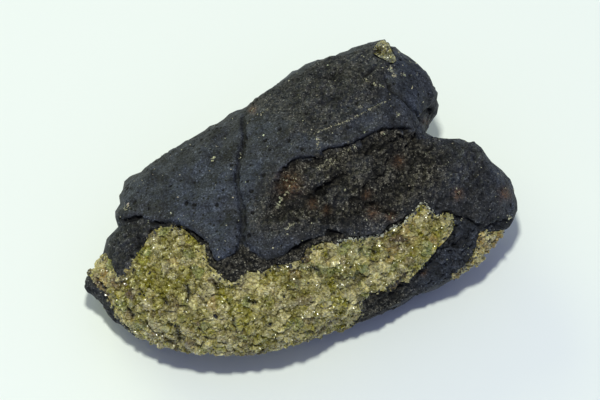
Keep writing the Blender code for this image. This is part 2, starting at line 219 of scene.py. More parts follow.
def layered(points, layers, rule=lumps):
    """Layers of noise laid over one another: each has a size, a height and a seed."""
    return sum(height * rule(points, size, seed) for size, height, seed in layers)


def largest(*values):
    return np.maximum.reduce(values)


def along(line, closed=False):
    return zip(line, line[1:] + line[:1] if closed else line[1:])


def distance_to_line(u, v, line, closed=False):
    """Each point's distance to a line of straight runs, in millimetres."""
    best = np.full(len(u), np.inf)
    for (au, av), (bu, bv) in along(line, closed):
        du, dv = bu - au, bv - av
        t = np.clip(((u - au) * du + (v - av) * dv) / (du * du + dv * dv), 0, 1)
        best = np.minimum(best, np.hypot(u - au - t * du, v - av - t * dv))
    return best


def depth_inside(u, v, outline):
    """How far each point lies inside the outline, below 0 outside it."""
    inside = np.zeros(len(u), bool)
    for (au, av), (bu, bv) in along(outline, closed=True):
        if av != bv:
            inside ^= ((av > v) != (bv > v)) & (u < (bu - au) * (v - av) / (bv - av) + au)
    distance = distance_to_line(u, v, outline, closed=True)
    return np.where(inside, distance, -distance)


# %% [markdown]
# ## The lines of the lava
#
# The upper layer of lava ends in a ledge over the nodule. A long shallow crack crosses it, and a
# hollow with broken, rusty walls is torn into it. The lines below say where, as u and v.

# %% Ledge, hollow and crack
FLOW = [
    (-60.0, -3.0), (-46.5, -3.6), (-43.5, -4.6), (-39.3, -4.0), (-36.6, -5.3), (-31.3, -5.7),
    (-26.0, -8.0), (-22.3, -11.0), (-21.3, -14.5), (-20.4, -15.1), (-18.3, -14.0), (-15.8, -13.3),
    (-14.8, -10.8), (-12.5, -11.8), (-10.6, -13.8), (-8.3, -14.7), (-4.1, -13.4), (0.5, -10.7),
    (4.7, -9.3), (7.2, -7.6), (10.8, -8.5), (14.2, -9.2), (20.0, -8.4), (22.0, -6.6),
    (24.6, -4.8), (27.6, -2.8), (30.0, -0.3), (34.0, -2.6), (37.5, -3.2), (46.0, -6.6),
    (60.0, -2.0), (60.0, 60.0), (-60.0, 60.0),
]
OVERHANG = [
    (-4.3, 7.8), (-0.4, 10.2), (3.3, 10.2), (5.9, 12.2), (9.5, 12.8), (13.4, 13.7), (17.3, 15.8),
    (20.6, 17.4), (25.0, 17.6), (29.3, 16.3),
]
HOLLOW = [(-8.0, -1.5), (-6.4, 2.2), (-6.1, 4.7)] + OVERHANG + [
    (33.0, 14.0), (36.0, 9.0), (35.0, 4.0), (30.5, 1.2), (26.0, -2.0), (20.0, -4.5), (14.0, -5.8),
    (6.0, -6.2), (0.0, -6.2), (-5.0, -5.8), (-9.0, -4.8),
]
CRACK = [
    (-14.2, 24.0), (-14.2, 20.0), (-13.7, 15.4), (-14.5, 12.6), (-15.0, 9.8), (-15.5, 6.2),
    (-15.3, 2.6), (-14.7, -0.4), (-14.2, -3.0), (-14.2, -5.5), (-14.6, -11.0),
]
SIDE_LOBE = [
    (29.0, 18.0), (36.0, 16.0), (44.0, 15.0), (47.5, 8.0), (52.0, -3.0), (50.0, -9.0), (30.0, -2.0),
]
TOP_BAND = [
    (-18.0, 25.0), (-12.8, 22.8), (-3.5, 20.0), (-3.0, 17.0), (3.0, 14.8), (8.0, 15.5), (14.0, 18.5),
    (19.0, 25.0), (22.0, 31.0), (26.0, 50.0), (-20.0, 50.0),
]
END_FACET = [(44.5, 15.0), (46.5, 7.0), (49.0, 3.5), (53.0, -1.0), (60.0, 0.0), (60.0, 20.0)]
print("points of the ledge:", len(FLOW), "the hollow:", len(HOLLOW), "the crack:", len(CRACK))

# %% [markdown]
# Fine creases come next: the black gap under the hollow's overhang, torn edges inside it, hairline
# cracks, and the wrinkles of the side lobe. Each has a depth, a half width and a line. Ridges have
# a height in place of the depth, and stand up. Bosses are round lumps in the hollow, and swells are
# broad and soft: each is a place, a radius and a height, and a swell of less than 0 sinks in, as at
# the notch in the cap. Along its lower right edge the nodule stands proud, with a deep gap beside it.

# %% Creases, ridges and bosses
CREASES = [
    (1.4, 0.42, [(27.0, 17.3), (25.3, 17.5), (23.0, 17.1), (20.8, 17.1), (18.5, 16.5), (17.3, 15.6),
                 (15.5, 14.8), (13.3, 13.6), (11.3, 13.0), (9.5, 12.5), (7.5, 12.4), (6.0, 11.8)]),
    (1.2, 0.42, [(4.0, 10.1), (2.0, 10.1), (0.0, 10.0), (-0.8, 9.9), (-1.5, 9.4), (-2.5, 8.6)]),
    (0.7, 0.34, [(-3.0, 7.4), (-3.8, 7.8), (-4.5, 7.5), (-4.9, 6.5)]),
    (0.4, 0.30, [(-5.3, 4.6), (-6.0, 4.4), (-6.4, 3.5)]),
    (1.3, 0.42, [(11.3, 6.5), (10.0, 5.5), (8.8, 4.8), (7.5, 3.6), (6.8, 3.3)]),
    (1.3, 0.42, [(-5.0, -2.8), (-3.5, -1.9), (-2.0, -1.4), (-1.0, -2.0), (0.0, -1.5), (1.0, -1.0)]),
    (1.1, 0.38, [(4.3, 1.9), (5.0, 2.6), (6.0, 2.5), (6.5, 2.0)]),
    (0.7, 0.32, [(2.3, 0.5), (2.8, 1.3), (3.5, 1.0)]),
    (1.7, 0.52, [(16.8, -0.8), (18.3, -0.5), (19.8, -1.6), (20.8, -2.4), (22.5, -2.8), (24.3, -3.3)]),
    (1.2, 0.65, [(16.4, 3.3), (16.6, 3.0)]),
    (1.1, 0.55, [(22.6, 9.7), (23.0, 9.9)]),
    (0.5, 0.28, [(12.8, -1.0), (14.0, -0.6)]),
    (0.5, 0.28, [(8.8, -1.8), (9.5, -1.5)]),
    (1.1, 0.45, [(26.3, 16.8), (26.0, 15.5), (24.5, 15.8), (24.0, 14.5), (22.5, 14.8)]),
    (1.1, 0.45, [(20.8, 13.8), (19.5, 13.0), (18.8, 13.5), (17.5, 12.8), (16.5, 12.0), (14.5, 11.5)]),
    (0.6, 0.30, [(28.8, 15.0), (27.3, 14.0), (26.3, 13.3)]),
    (0.9, 0.34, [(19.1, 33.9), (18.0, 32.5), (16.8, 31.5), (15.6, 30.6)]),
    (1.3, 0.60, [(5.2, 31.3), (6.2, 31.2), (8.3, 30.8)]),
    (0.8, 0.40, [(2.5, 31.9), (4.0, 31.6), (5.0, 31.1)]),
    (0.4, 0.28, [(10.3, 34.8), (11.3, 34.5)]),
    (0.8, 0.34, [(21.6, 30.5), (22.2, 28.0), (23.8, 26.5), (25.5, 25.0), (27.5, 23.3), (29.3, 21.5),
                 (31.0, 19.0)]),
    (0.8, 0.50, [(23.4, 40.0), (23.0, 38.2), (22.8, 36.8)]),
    (1.0, 0.55, [(31.0, 20.5), (31.8, 21.5), (32.8, 21.9)]),
    (0.3, 0.26, [(36.0, 10.5), (37.3, 10.9), (38.8, 10.6)]),
    (0.3, 0.26, [(36.5, 9.8), (38.0, 9.3), (39.0, 8.5)]),
    (0.3, 0.26, [(37.0, 8.0), (38.0, 7.3), (39.3, 7.1)]),
    (0.5, 0.34, [(43.0, 13.3), (43.5, 12.3), (43.8, 11.3), (43.5, 10.5)]),
    (0.5, 0.34, [(42.5, 9.5), (42.3, 8.5)]),
    (0.5, 0.34, [(40.5, 6.3), (40.0, 5.3)]),
    (0.5, 0.38, [(43.5, 6.8), (43.3, 5.5)]),
    (0.5, 0.32, [(43.0, -8.0), (40.8, -10.8), (40.0, -13.8), (40.5, -15.0)]),
    (0.8, 0.60, [(38.1, -11.4), (38.5, -11.6)]),
    (0.6, 0.45, [(37.1, -12.9), (37.5, -13.1)]),
    (0.4, 0.28, [(-39.9, -6.3), (-39.0, -6.0), (-38.2, -6.6)]),
]
RIDGES = [
    (0.60, 0.55, [(43.3, 14.3), (44.0, 12.5), (45.0, 10.0), (46.0, 7.3)]),
    (0.40, 0.45, [(46.5, 8.0), (48.0, 5.5), (49.3, 4.0)]),
    (0.60, 0.95, [(44.5, -4.0), (42.5, -6.3), (40.8, -10.0), (39.3, -15.5), (38.0, -18.8)]),
    (0.35, 0.70, [(5.0, 13.0), (9.5, 14.0), (13.3, 15.2), (17.0, 17.3), (20.8, 18.6), (25.0, 19.0)]),
]
BOSSES = [
    (-1.3, 0.6, 2.3, 0.9), (3.3, 5.2, 3.0, 0.8), (9.0, 1.0, 3.0, 0.5), (15.0, 8.0, 3.5, 0.5),
    (-38.5, -8.5, 2.5, 0.5),
]
SWELLS = [
    (29.5, 34.5, 3.6, 0.8), (43.5, 15.5, 2.5, -0.8), (-48.5, -7.5, 3.5, -0.6), (-46.0, 7.0, 3.0, -0.5),
    (22.6, 39.3, 1.0, -1.3), (-46.4, -6.5, 1.8, -1.6), (-44.6, -1.0, 1.1, -1.3), (-45.7, 1.4, 1.2, 0.5),
    (-54.0, -20.5, 1.6, -0.6),
]
PROUD_EDGE = [
    (38.8, -7.0), (37.2, -9.2), (35.3, -11.2), (33.4, -13.2), (31.4, -15.9), (28.9, -18.4), (26.5, -20.6),
    (24.5, -22.4), (22.8, -24.2),
]
print("creases:", len(CREASES), "ridges:", len(RIDGES), "bosses:", len(BOSSES), "swells:", len(SWELLS))

# %% [markdown]
# The crust isn't of one colour either. Rust gathers in the broken parts, and pale specks of olivine
# lie in patches and in thin lines that mark healed cracks. These are places and radii.

# %% Rust, pale patches and veins
RUST_PATCHES = [
    (22.3, -4.0, 1.1), (6.5, -2.5, 1.0), (16.5, 1.3, 1.1), (18.0, -3.0, 1.5), (-2.5, 3.8, 2.8),
    (24.3, 9.5, 1.4), (39.0, 1.5, 1.2), (51.0, 1.5, 1.5), (30.5, -17.8, 0.9), (31.3, 19.5, 0.8),
    (-11.8, 22.5, 0.9), (3.0, -1.0, 1.2),
]
PALE_LINES = [
    (1.0, [(5.5, 8.0), (13.0, 13.5)]),
    (0.5, [(-3.5, -7.3), (-2.0, -6.0)]),
    (0.6, [(22.0, 33.0), (23.5, 31.0)]),
    (0.5, [(25.4, 31.4), (25.8, 31.0)]),
    (0.4, [(-10.5, 20.8), (-9.5, 21.8), (-8.0, 22.5)]),
    (0.4, [(24.1, 21.4), (24.9, 21.2)]),
    (0.4, [(14.7, 23.3), (15.3, 23.3)]),
]
VEINS = [
    [(3.8, 16.5), (5.0, 17.2), (6.5, 17.5), (7.5, 18.1), (9.5, 18.8), (11.3, 19.3), (12.5, 20.0),
     (14.0, 20.8), (15.5, 21.5), (17.0, 22.3), (18.5, 23.0), (20.0, 23.8), (21.3, 24.5)],
    [(4.0, 15.8), (4.5, 14.3), (4.3, 13.3), (4.8, 12.5)],
    [(15.5, 30.3), (17.0, 29.3), (19.0, 28.5), (21.0, 28.0)],
]
print("rust patches:", len(RUST_PATCHES), "pale lines:", len(PALE_LINES), "veins:", len(VEINS))

# %% [markdown]
# ## The basalt crust
#
# On the real stone this is one skin of frozen lava. The solid has its form in facets of two or
# three millimetres. A subdivision surface rounds them, and a voxel remesh then lays an even net of
# small faces over it, fine enough to carry pits and broken edges. The sharp rims round the nodule
# are creased first, or the subdivision would melt them.

# %% A fine net over the crust
NET = 0.30  # millimetres
RIM_ANGLE = math.radians(55)
SUBDIVISIONS, SMOOTHING_PASSES = 2, 4


def crease_rims(obj):
    """Keeps the sharp edges of the solid sharp under a subdivision."""
    only(obj)
    bpy.ops.object.mode_set(mode="EDIT")
    bpy.ops.mesh.select_mode(type="EDGE")
    bpy.ops.mesh.select_all(action="DESELECT")
    bpy.ops.mesh.edges_select_sharp(sharpness=RIM_ANGLE)
    bpy.ops.transform.edge_crease(value=1.0)
    bpy.ops.object.mode_set(mode="OBJECT")


def fine_copy(node, name, net):
    """The node's form as an even net of small faces."""
    obj = copy_of_node(node, name)
    crease_rims(obj)
    apply_modifier(obj, "SUBSURF", levels=SUBDIVISIONS, render_levels=SUBDIVISIONS)
    apply_modifier(obj, "REMESH", mode="VOXEL", voxel_size=net * MM)
    apply_modifier(obj, "SMOOTH", factor=0.5, iterations=SMOOTHING_PASSES)
    return obj


crust = fine_copy("basalt_crust", "crust", NET)
print("crust:", len(crust.data.vertices), "points,", triangles(crust), "triangles")

# %% [markdown]
# The regions of the crust come next. Each is a number from 0 to 1 at every point: how much the
# point belongs to the smooth flow, how rough it is broken, and how brown it is. The hollow is cut
# off sharply under its overhang and fades out softly elsewhere, with a brown margin. Noise frays
# every border. Only the side that faces the view has regions: the back keeps the ordinary skin.

# %% The crust's regions
nodule_surface = surface_of(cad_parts["dunite_nodule"])
chip_surface = surface_of(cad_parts["dunite_chip"])
FACING_FULL = 0.3  # the cosine from which a point is fully turned to the view
BORDER_NOISE = [(2.5, 1.0, 11), (1.1, 0.5, 10)]
# How far that noise moves each border, in millimetres.
LEDGE_FRAY, HOLLOW_FRAY, FACET_FRAY, SIDE_FRAY, BAND_FRAY, BOSS_FRAY = 0.4, 1.2, 0.5, 1.5, 2.5, 0.8
# Where a region sets in and where it is complete, in millimetres inside its outline.
LEDGE_EDGE, FACET_EDGE, SIDE_EDGE, BOSS_EDGE = (-0.3, 0.3), (-0.4, 0.6), (-1.0, 1.5), (-0.5, 1.0)
SHARP_EDGE, SOFT_EDGE, MARGIN_EDGE = (-0.3, 0.9), (-2.5, 2.5), (-6.0, 1.0)
TOP_EDGE, TOP_TONE_EDGE = (3.0, 7.0), (-2.5, 2.0)
OVERHANG_REACH = 3.0
# Where along u the crust below the ledge changes its tone. The left tip's are distances to the left.
FLAP_END, STRIP_START, LEFT_TIP = (-37, -31), (24, 32), (46, 50)
SIDE_ROUGHNESS, TOP_ROUGHNESS, UNDER_ROUGHNESS = 0.50, 0.50, 0.7
SIDE_BROWN, TOP_BROWN, MARGIN_BROWN = 0.30, 0.55, 0.8
FLAP_BROWN, BAND_BROWN, STRIP_BROWN = 0.40, 1.00, 0.05
BOSS_CALM, BOSS_CLEAN, TIP_CALM = 0.6, 0.5, 0.7  # shares of roughness or brown that these lose


def facing_share(normals):
    """1 where the surface is turned to the view, and 0 where it is turned away."""
    return ramp(normals @ TO_VIEW[2], 0.0, FACING_FULL)


def boss_height(u, v, wobble):
    """How high the bosses stand at each point, 0 away from them."""
    heights = (
        height * ramp(radius - np.hypot(u - bu, v - bv) + BOSS_FRAY * wobble, *BOSS_EDGE)
        for bu, bv, radius, height in BOSSES
    )
    return largest(*heights)


def crust_regions(points, normals):
    """Each point's place in the view, its distance to the dunite, and its share of each region."""
    u, v, _ = seen(points).T
    facing = facing_share(normals)
    near = np.minimum(distances_to(nodule_surface, points), distances_to(chip_surface, points))
    wobble = layered(points, BORDER_NOISE)
    flow = ramp(depth_inside(u, v, FLOW) + LEDGE_FRAY * wobble, *LEDGE_EDGE)
    into_hollow = depth_inside(u, v, HOLLOW) + HOLLOW_FRAY * wobble
    sharp, soft = ramp(into_hollow, *SHARP_EDGE), ramp(into_hollow, *SOFT_EDGE)
    at_overhang = bump(distance_to_line(u, v, OVERHANG), OVERHANG_REACH)
    hollow = soft + (sharp - soft) * at_overhang
    margin = ramp(into_hollow, *MARGIN_EDGE) * (1 - at_overhang)
    facet = ramp(depth_inside(u, v, END_FACET) + FACET_FRAY * wobble, *FACET_EDGE)
    side = ramp(depth_inside(u, v, SIDE_LOBE) + SIDE_FRAY * wobble, *SIDE_EDGE) * (1 - facet)
    into_band = depth_inside(u, v, TOP_BAND) + BAND_FRAY * wobble
    top, top_tone = ramp(into_band, *TOP_EDGE), ramp(into_band, *TOP_TONE_EDGE)
    boss = boss_height(u, v, wobble)
    calm = 1 - BOSS_CALM * np.minimum(boss, 1)
    below = UNDER_ROUGHNESS * (1 - flow) * (1 - TIP_CALM * ramp(-u, *LEFT_TIP))
    rough = largest(hollow * calm, side * SIDE_ROUGHNESS, top * TOP_ROUGHNESS, below)
    under = FLAP_BROWN + (BAND_BROWN - FLAP_BROWN) * ramp(u, *FLAP_END)
    under = under + (STRIP_BROWN - BAND_BROWN) * ramp(u, *STRIP_START)
    hollow_brown = largest(hollow * (1 - BOSS_CLEAN * np.minimum(boss, 1)), MARGIN_BROWN * margin)
    brown = largest(hollow_brown, side * SIDE_BROWN, top_tone * TOP_BROWN, under * (1 - flow))
    return {
        "u": u, "v": v, "near": near, "facing": facing, "flow": flow * facing, "boss": boss * facing,
        "rough": rough * facing, "brown": brown * facing,
    }


points, normals = points_of(crust), normals_of(crust)
region = crust_regions(points, normals)
print("share of rough crust:", round(float((region["rough"] > 0.5).mean()), 3))

# %% [markdown]
# Now the relief, from the large to the small: the lip of the ledge and the dark gap under it, the
# crack, the creases and ridges, swells, torn lumps and clefts where the crust is broken, and a fine
# grain everywhere. Each is a rule that gives a height in millimetres, and the heights are added.
# Beside it goes a painted shade from 0 to 1, a darkness put into the colour, as little light reaches
# the bottoms of creases, gaps, cracks and clefts.

# %% The crust's relief
LINE_NOISE = [(1.3, 0.28, 12), (0.6, 0.14, 13)]
LEDGE_WANDER, CRACK_WANDER, CREASE_WANDER = 1.3, 1.8, 0.8  # how far that noise moves each line
GAP_PATCHES, WEAR_PATCHES = (4.0, 14), (1.9, 27)  # size and seed
CLEFT_LINES, CLEFT_PATCHES = (4.2, 28), (2.6, 29)
LIP_HEIGHT, LIP_INSET, LIP_WIDTH = 0.30, 0.6, 0.6
GAP_DEPTH, GAP_OUTSET, GAP_WIDTH = 1.1, 0.35, 0.45
# CRACK_SHADE, CORE_SHADE, SHADE_GAIN and CLEFT_SHADE set painted shade: how far the colour darkens in the
# crack, its core, the creases and the clefts.
CRACK_WIDTH, CRACK_DEPTH, CRACK_SHADE = 0.60, 0.5, 0.50
CORE_WIDTH, CORE_DEPTH, CORE_SHADE = 0.22, 0.4, 0.9
CREASE_GAIN, SHADE_GAIN = 1.5, 1.3  # the net rounds a narrow crease off, so it is dug deeper
TORN_CRESTS = [(3.6, 0.95, 16), (1.7, 0.75, 17)]
TORN_GRAIN = [(0.95, 0.70, 18), (0.6, 0.50, 19)]
TORN_LEVEL = 1.15
CLEFT_WIDTH, CLEFT_DEPTH, CLEFT_SHADE = 0.085, 0.9, 0.95
BROAD_LUMPS = [(7.5, 0.85, 26), (3.3, 0.50, 20)]
SKIN_GRAIN = [(1.5, 0.24, 21), (0.7, 0.13, 22)]
PROUD_GAP_WIDTH, PROUD_GAP_DEPTH = 0.85, 1.6
CALM_AT_RIM = (0.35, 1.3)  # distances from the dunite over which the relief sets in
LOWEST, HIGHEST = -2.6, 1.2


def line_relief(points, region):
    """Lip, crack, creases and ridges: how high each point stands, and how much painted shade darkens its
    crease.
    """
    u, v = region["u"], region["v"]
    wander = layered(points, LINE_NOISE)
    depth = depth_inside(u, v, FLOW) + LEDGE_WANDER * wander
    lip = LIP_HEIGHT * bump(depth - LIP_INSET, LIP_WIDTH)
    gap = bump(depth + GAP_OUTSET, GAP_WIDTH) * ramp(lumps(points, *GAP_PATCHES), -0.45, 0.15)
    unevenness = 0.45 + 0.55 * ramp(lumps(points, *WEAR_PATCHES), -0.25, 0.15)
    from_crack = np.abs(distance_to_line(u, v, CRACK) + CRACK_WANDER * wander)
    crack = ramp(CRACK_WIDTH - from_crack, -0.15, 0.30) * region["flow"]
    core = bump(from_crack, CORE_WIDTH) * region["flow"] * (0.4 + 0.6 * unevenness)
    dark = largest(gap, CRACK_SHADE * crack, CORE_SHADE * core)
    deep = largest(GAP_DEPTH * gap, CRACK_DEPTH * crack + CORE_DEPTH * core)
    for depth_of_line, half_width, line in CREASES:
        share = bump(np.abs(distance_to_line(u, v, line) + CREASE_WANDER * wander), half_width + 0.06)
        share = share * unevenness ** (0.5 / depth_of_line)
        deep = np.maximum(deep, CREASE_GAIN * depth_of_line * share)
        dark = np.maximum(dark, min(1.0, SHADE_GAIN * depth_of_line) * share)
    for height, half_width, line in RIDGES:
        lip = lip + height * bump(distance_to_line(u, v, line) + wander, half_width)
    return (lip - deep) * region["facing"], dark * region["facing"]


def torn_relief(points):
    """Broken lava: sharp crests and holes, from coarse to fine."""
    return layered(points, TORN_CRESTS, ridges) + layered(points, TORN_GRAIN) - TORN_LEVEL


def clefts_in(points):
    """Short curved clefts, where one noise passes through zero and another is high."""
    middle = ramp(CLEFT_WIDTH - np.abs(lumps(points, *CLEFT_LINES)), 0.0, 0.06)
    return middle * ramp(lumps(points, *CLEFT_PATCHES), -0.05, 0.15)


def calm_relief(points, region):
    """The ordinary skin: broad lumps, the placed swells, and a fine grain."""
    height = layered(points, BROAD_LUMPS)
    for su, sv, radius, rise in SWELLS:
        height = height + rise * bump(np.hypot(region["u"] - su, region["v"] - sv), radius)
    for size, rise, seed in SKIN_GRAIN:
        height = height + rise * lumps(points, size, seed)
    return height


line_height, crease_painted_shade = line_relief(points, region)
inside = ramp(region["near"], *CALM_AT_RIM)
rough = region["rough"]
torn, clefts = torn_relief(points), rough * clefts_in(points)
relief = line_height + region["boss"] + rough * torn - CLEFT_DEPTH * clefts
relief = relief + (1 - 0.5 * rough) * calm_relief(points, region)
beside = bump(distance_to_line(region["u"], region["v"], PROUD_EDGE), PROUD_GAP_WIDTH) * region["facing"]
relief = (relief * inside - PROUD_GAP_DEPTH * beside).clip(LOWEST, HIGHEST)
# Painted shade: the colour also darkens in the gap beside the proud nodule, in the clefts and between the
# torn crests.
shade_between_crests = 0.5 * rough * ramp(-torn, -0.15, 0.50)
crease_painted_shade = largest(crease_painted_shade, beside, CLEFT_SHADE * clefts, shade_between_crests)
print("relief from", round(float(relief.min()), 2), "to", round(float(relief.max()), 2), "mm")

# %% [markdown]
# The rim round the nodule is ragged, so its points drift sideways by noise, and broken lava drifts
# as well, which folds the crests over a little. Height alone could never give an overhang.

# %% Ragged rims
DRIFT_SEED = 7
DRIFT_SIZE, RIM_REACH, RIM_DRIFT, TORN_DRIFT = 1.5, 1.8, 0.45, 0.3  # millimetres
noise.seed_set(DRIFT_SEED)  # without it, noise_vector takes its seed from the clock
rim_share = ramp(RIM_REACH - region["near"], 0, 1.4)
directions = np.array([noise.noise_vector(Vector(p) / DRIFT_SIZE) for p in points])
drift = directions * (RIM_DRIFT * rim_share + TORN_DRIFT * rough)[:, None]
points = points + normals * relief[:, None] + drift
set_points(crust, points)
print("points drift up to", round(float(np.abs(drift).max()), 2), "mm")

# %% [markdown]
# Gas bubbles burst at the skin and left small round pits. Most lie where chance puts them, and a few
# larger ones have their own places. A search tree finds the points within each pit's radius, and a
# bowl-shaped dip is taken out of them.

# %% Burst bubbles
PIT_SEED, PIT_COUNT = 5, 2600
PIT_SHAPE, PIT_SCALE = 5.0, 0.048  # their product is the mean radius, in millimetres
SMALLEST_PIT, LARGEST_PIT, PLACED_RADIUS = 0.16, 0.55, 0.62
BOWL_DEPTH = 0.9  # as a share of the radius
CLEAR_OF_RIM = 1.0
ABOVE_STONE = 80.0
PLACED_PITS = [
    (-28.0, -0.8), (-26.0, -1.2), (-20.5, -1.2), (-14.0, 14.0), (-12.6, -8.7), (1.6, 21.5), (14.0, 24.0),
    (-8.6, 14.8), (-5.0, 17.6), (-2.8, 14.6), (0.5, 12.6), (6.2, 19.1), (-9.0, 6.2), (-12.0, 2.2),
]


def nearest_seen(surface, u, v):
    """The point and normal of the surface that the view shows at u and v."""
    start = Vector(in_space(u, v, ABOVE_STONE))
    hit, normal, _, _ = surface.ray_cast(start, Vector(-TO_VIEW[2]))
    return hit, normal


def dig_pits(obj, region):
    """Takes bowls out of the surface, and returns how deep each point went."""
    points, normals = points_of(obj), normals_of(obj)
    tree = KDTree(len(points))
    for index, point in enumerate(points):
        tree.insert(point, index)
    tree.balance()
    rng = np.random.default_rng(PIT_SEED)
    open_skin = np.flatnonzero(region["near"] > CLEAR_OF_RIM)
    spots = rng.choice(open_skin, PIT_COUNT)
    radii = rng.gamma(PIT_SHAPE, PIT_SCALE, PIT_COUNT).clip(SMALLEST_PIT, LARGEST_PIT)
    centres = list(zip(points[spots], radii))
    surface = surface_of(obj)
    for u, v in PLACED_PITS:
        hit, _ = nearest_seen(surface, u, v)
        if hit:
            centres.append((hit, PLACED_RADIUS))
    dip = np.zeros(len(points))
    for centre, radius in centres:
        for _, index, distance in tree.find_range(centre, radius):
            dip[index] = max(dip[index], radius * BOWL_DEPTH * (1 - (distance / radius) ** 2))
    set_points(obj, points - normals * dip[:, None])
    return dip


pit_depth = dig_pits(crust, region)
print("pits cover", round(float((pit_depth > 0.05).mean()), 3), "of the points")

# %% [markdown]
# A mesh of this many faces is more than the eye can use. Decimation takes faces away where the
# surface is nearly flat, and a vertex group tells it to spend most of them on the side that
# faces the view. The regions are then stored on the points, for the material to read.

# %% Keep the crust in its box and thin its net
MOST_TRIANGLES = 192_000
SPARE_LEVELS = 10  # steps of the vertex group


def keep_in_box(obj):
    """No point may leave the box of the solids."""
    low, high = (np.array(corner) / MM for corner in cad_box)
    set_points(obj, np.clip(points_of(obj), low, high))


def thin_out(obj, most, spare):
    """Decimates to the most triangles, sparing the points where spare is near 0."""
    group = obj.vertex_groups.new(name="spare")
    for level in range(1, SPARE_LEVELS + 1):
        chosen = np.flatnonzero(np.round(spare * SPARE_LEVELS) == level)
        group.add(chosen.tolist(), level / SPARE_LEVELS, "REPLACE")
    ratio = min(1.0, most / triangles(obj))
    apply_modifier(obj, "DECIMATE", ratio=ratio, vertex_group="spare", vertex_group_factor=0.6)
    obj.vertex_groups.clear()


keep_in_box(crust)
# The stored darkness is painted shade, in creases, gaps, clefts and pits.
set_attribute(crust, "dark", np.maximum(crease_painted_shade, ramp(pit_depth, 0.02, 0.15)))
# The crest share marks where the broken lava's colour gets a painted highlight.
set_attribute(crust, "crest_highlight", rough * ramp(torn, 0.0, 0.6))
set_attribute(crust, "brown", region["brown"])
shown = region["facing"] * ramp(region["near"], 0.2, 0.5)
thin_out(crust, MOST_TRIANGLES, 1.0 - 0.5 * shown)
keep_in_box(crust)
crust.data.shade_smooth()
print("crust:", triangles(crust), "triangles")

# %% [markdown]
# Iron in the broken lava has rusted in spots, and fine olivine lies in pale flecks along healed
# cracks. Both are only colour, so they are stored as shares on the points and raise nothing. They
# are worked out after the thinning, as colour needs no finer net than the one that is left.

# %% Where the crust is rusty or pale
VEIN_WIDTH, VEIN_STRENGTH = 0.28, 0.9


def rust_and_pale(points):
    """The share of rust and the share of pale flecks at each point."""
    u, v, _ = seen(points).T
    ruggedness = 0.5 * lumps(points, 0.9, 24)
    rust = largest(
        *(bump(np.hypot(u - pu, v - pv) + radius * ruggedness, radius) for pu, pv, radius in RUST_PATCHES)
    )
    pale = largest(
        *(bump(distance_to_line(u, v, line) + width * ruggedness, width) for width, line in PALE_LINES)
    )
    for line in VEINS:
        from_vein = np.abs(distance_to_line(u, v, line) + 0.3 * ruggedness)
        pale = np.maximum(pale, VEIN_STRENGTH * bump(from_vein, VEIN_WIDTH))
    return rust, pale


rust, pale = rust_and_pale(points_of(crust))
front = facing_share(normals_of(crust))
set_attribute(crust, "rust", rust * front)
set_attribute(crust, "pale", pale * front)
print("rusty points:", int((rust * front > 0.5).sum()), "pale points:", int((pale * front > 0.5).sum()))

# %% [markdown]
# ## The mass of the nodule
#
# Dunite is a mass of olivine grains grown tightly together, and it breaks into small tilted planes.
# The mass gets a fine net of its own. Space is filled with a loose cloud of seeds, one to a cell of
# a grid. Every point of the net belongs to its nearest seed, and each seed has a plane of its own,
# so the surface falls into facets. Three clouds make clusters, grains and splinters of grains.
# Where the mass faces the crust it swells a little instead, to meet it.

# %% The nodule's mass
MASS_NET = 0.26
CLUSTER, GRAIN, SPLINTER = 2.7, 1.15, 0.55  # spacing of the seeds in millimetres
CLUSTER_SEED, GRAIN_SEED, SPLINTER_SEED = 31, 33, 35
# Spacing, tilt, depth of the grooves between facets, and seed.
FACETS = [
    (CLUSTER, 0.30, 0.16, CLUSTER_SEED),
    (GRAIN, 0.40, 0.10, GRAIN_SEED),
    (SPLINTER, 0.36, 0.06, SPLINTER_SEED),
]
TILT_GAIN, GROOVE_WIDTH = 3.4, 0.22
# Uneven multipliers: of so large a sine, only the part after the point is kept, and it looks like chance.
CELL_WEIGHTS, SINE_GAIN, NEXT_NUMBER = np.array([12.9898, 78.233, 37.719]), 43758.5453, 5.37
NEAR_WALL = 1.2  # a wall counts as straight ahead when it is this near, in millimetres
WALL_SWELL = 0.32  # how far the mass swells there
LEVEL, DEEPEST, PROUDEST = 0.05, -1.4, 0.6
CREVICE_WIDTH, CREVICE_DEPTH = 0.5, 0.9
crust_solid = surface_of(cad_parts["basalt_crust"])
CREVICES = [
    [(-27.9, -21.0), (-27.4, -23.0), (-27.6, -24.8)], [(-30.3, -31.5), (-30.0, -33.0), (-29.7, -35.0)],
    [(-33.6, -24.2), (-32.6, -25.6)], [(-20.9, -20.6), (-20.2, -21.8)], [(3.0, -16.5), (4.6, -17.3)],
    [(-12.6, -24.9), (-11.0, -25.2)], [(17.2, -12.3), (18.6, -12.9)], [(-42.5, -27.0), (-41.4, -28.6)],
    [(19.4, 37.2), (20.2, 37.6)],
]


def clear_ahead(wall, points, normals):
    """True where nothing of the wall lies straight ahead of a point."""
    rays = ((Vector(p), Vector(n)) for p, n in zip(points, normals))
    return np.array([wall.ray_cast(start, way, NEAR_WALL)[0] is None for start, way in rays])


def chances(cells, seed, count):
    """Numbers from 0 to 1, always the same ones for the same cell and seed."""
    turns = cells @ CELL_WEIGHTS + seed
    return np.stack([np.mod(np.sin(turns + NEXT_NUMBER * k) * SINE_GAIN, 1) for k in range(count)], axis=-1)


def nearest_seeds(points, spacing, seed):
    """Each point's own cell, the seed of that cell, and how far the border with the next one is."""
    home = np.floor(points / spacing)
    best, second = np.full(len(points), np.inf), np.full(len(points), np.inf)
    own, seeds = np.zeros_like(points), np.zeros_like(points)
    for step in itertools.product((-1, 0, 1), repeat=3):
        cell = home + step
        place = (cell + chances(cell, seed, 3)) * spacing
        distance = np.linalg.norm(points - place, axis=1)
        closer = distance < best
        second = np.where(closer, best, np.minimum(second, distance))
        best = np.where(closer, distance, best)
        own[closer], seeds[closer] = cell[closer], place[closer]
    return own, seeds, second - best


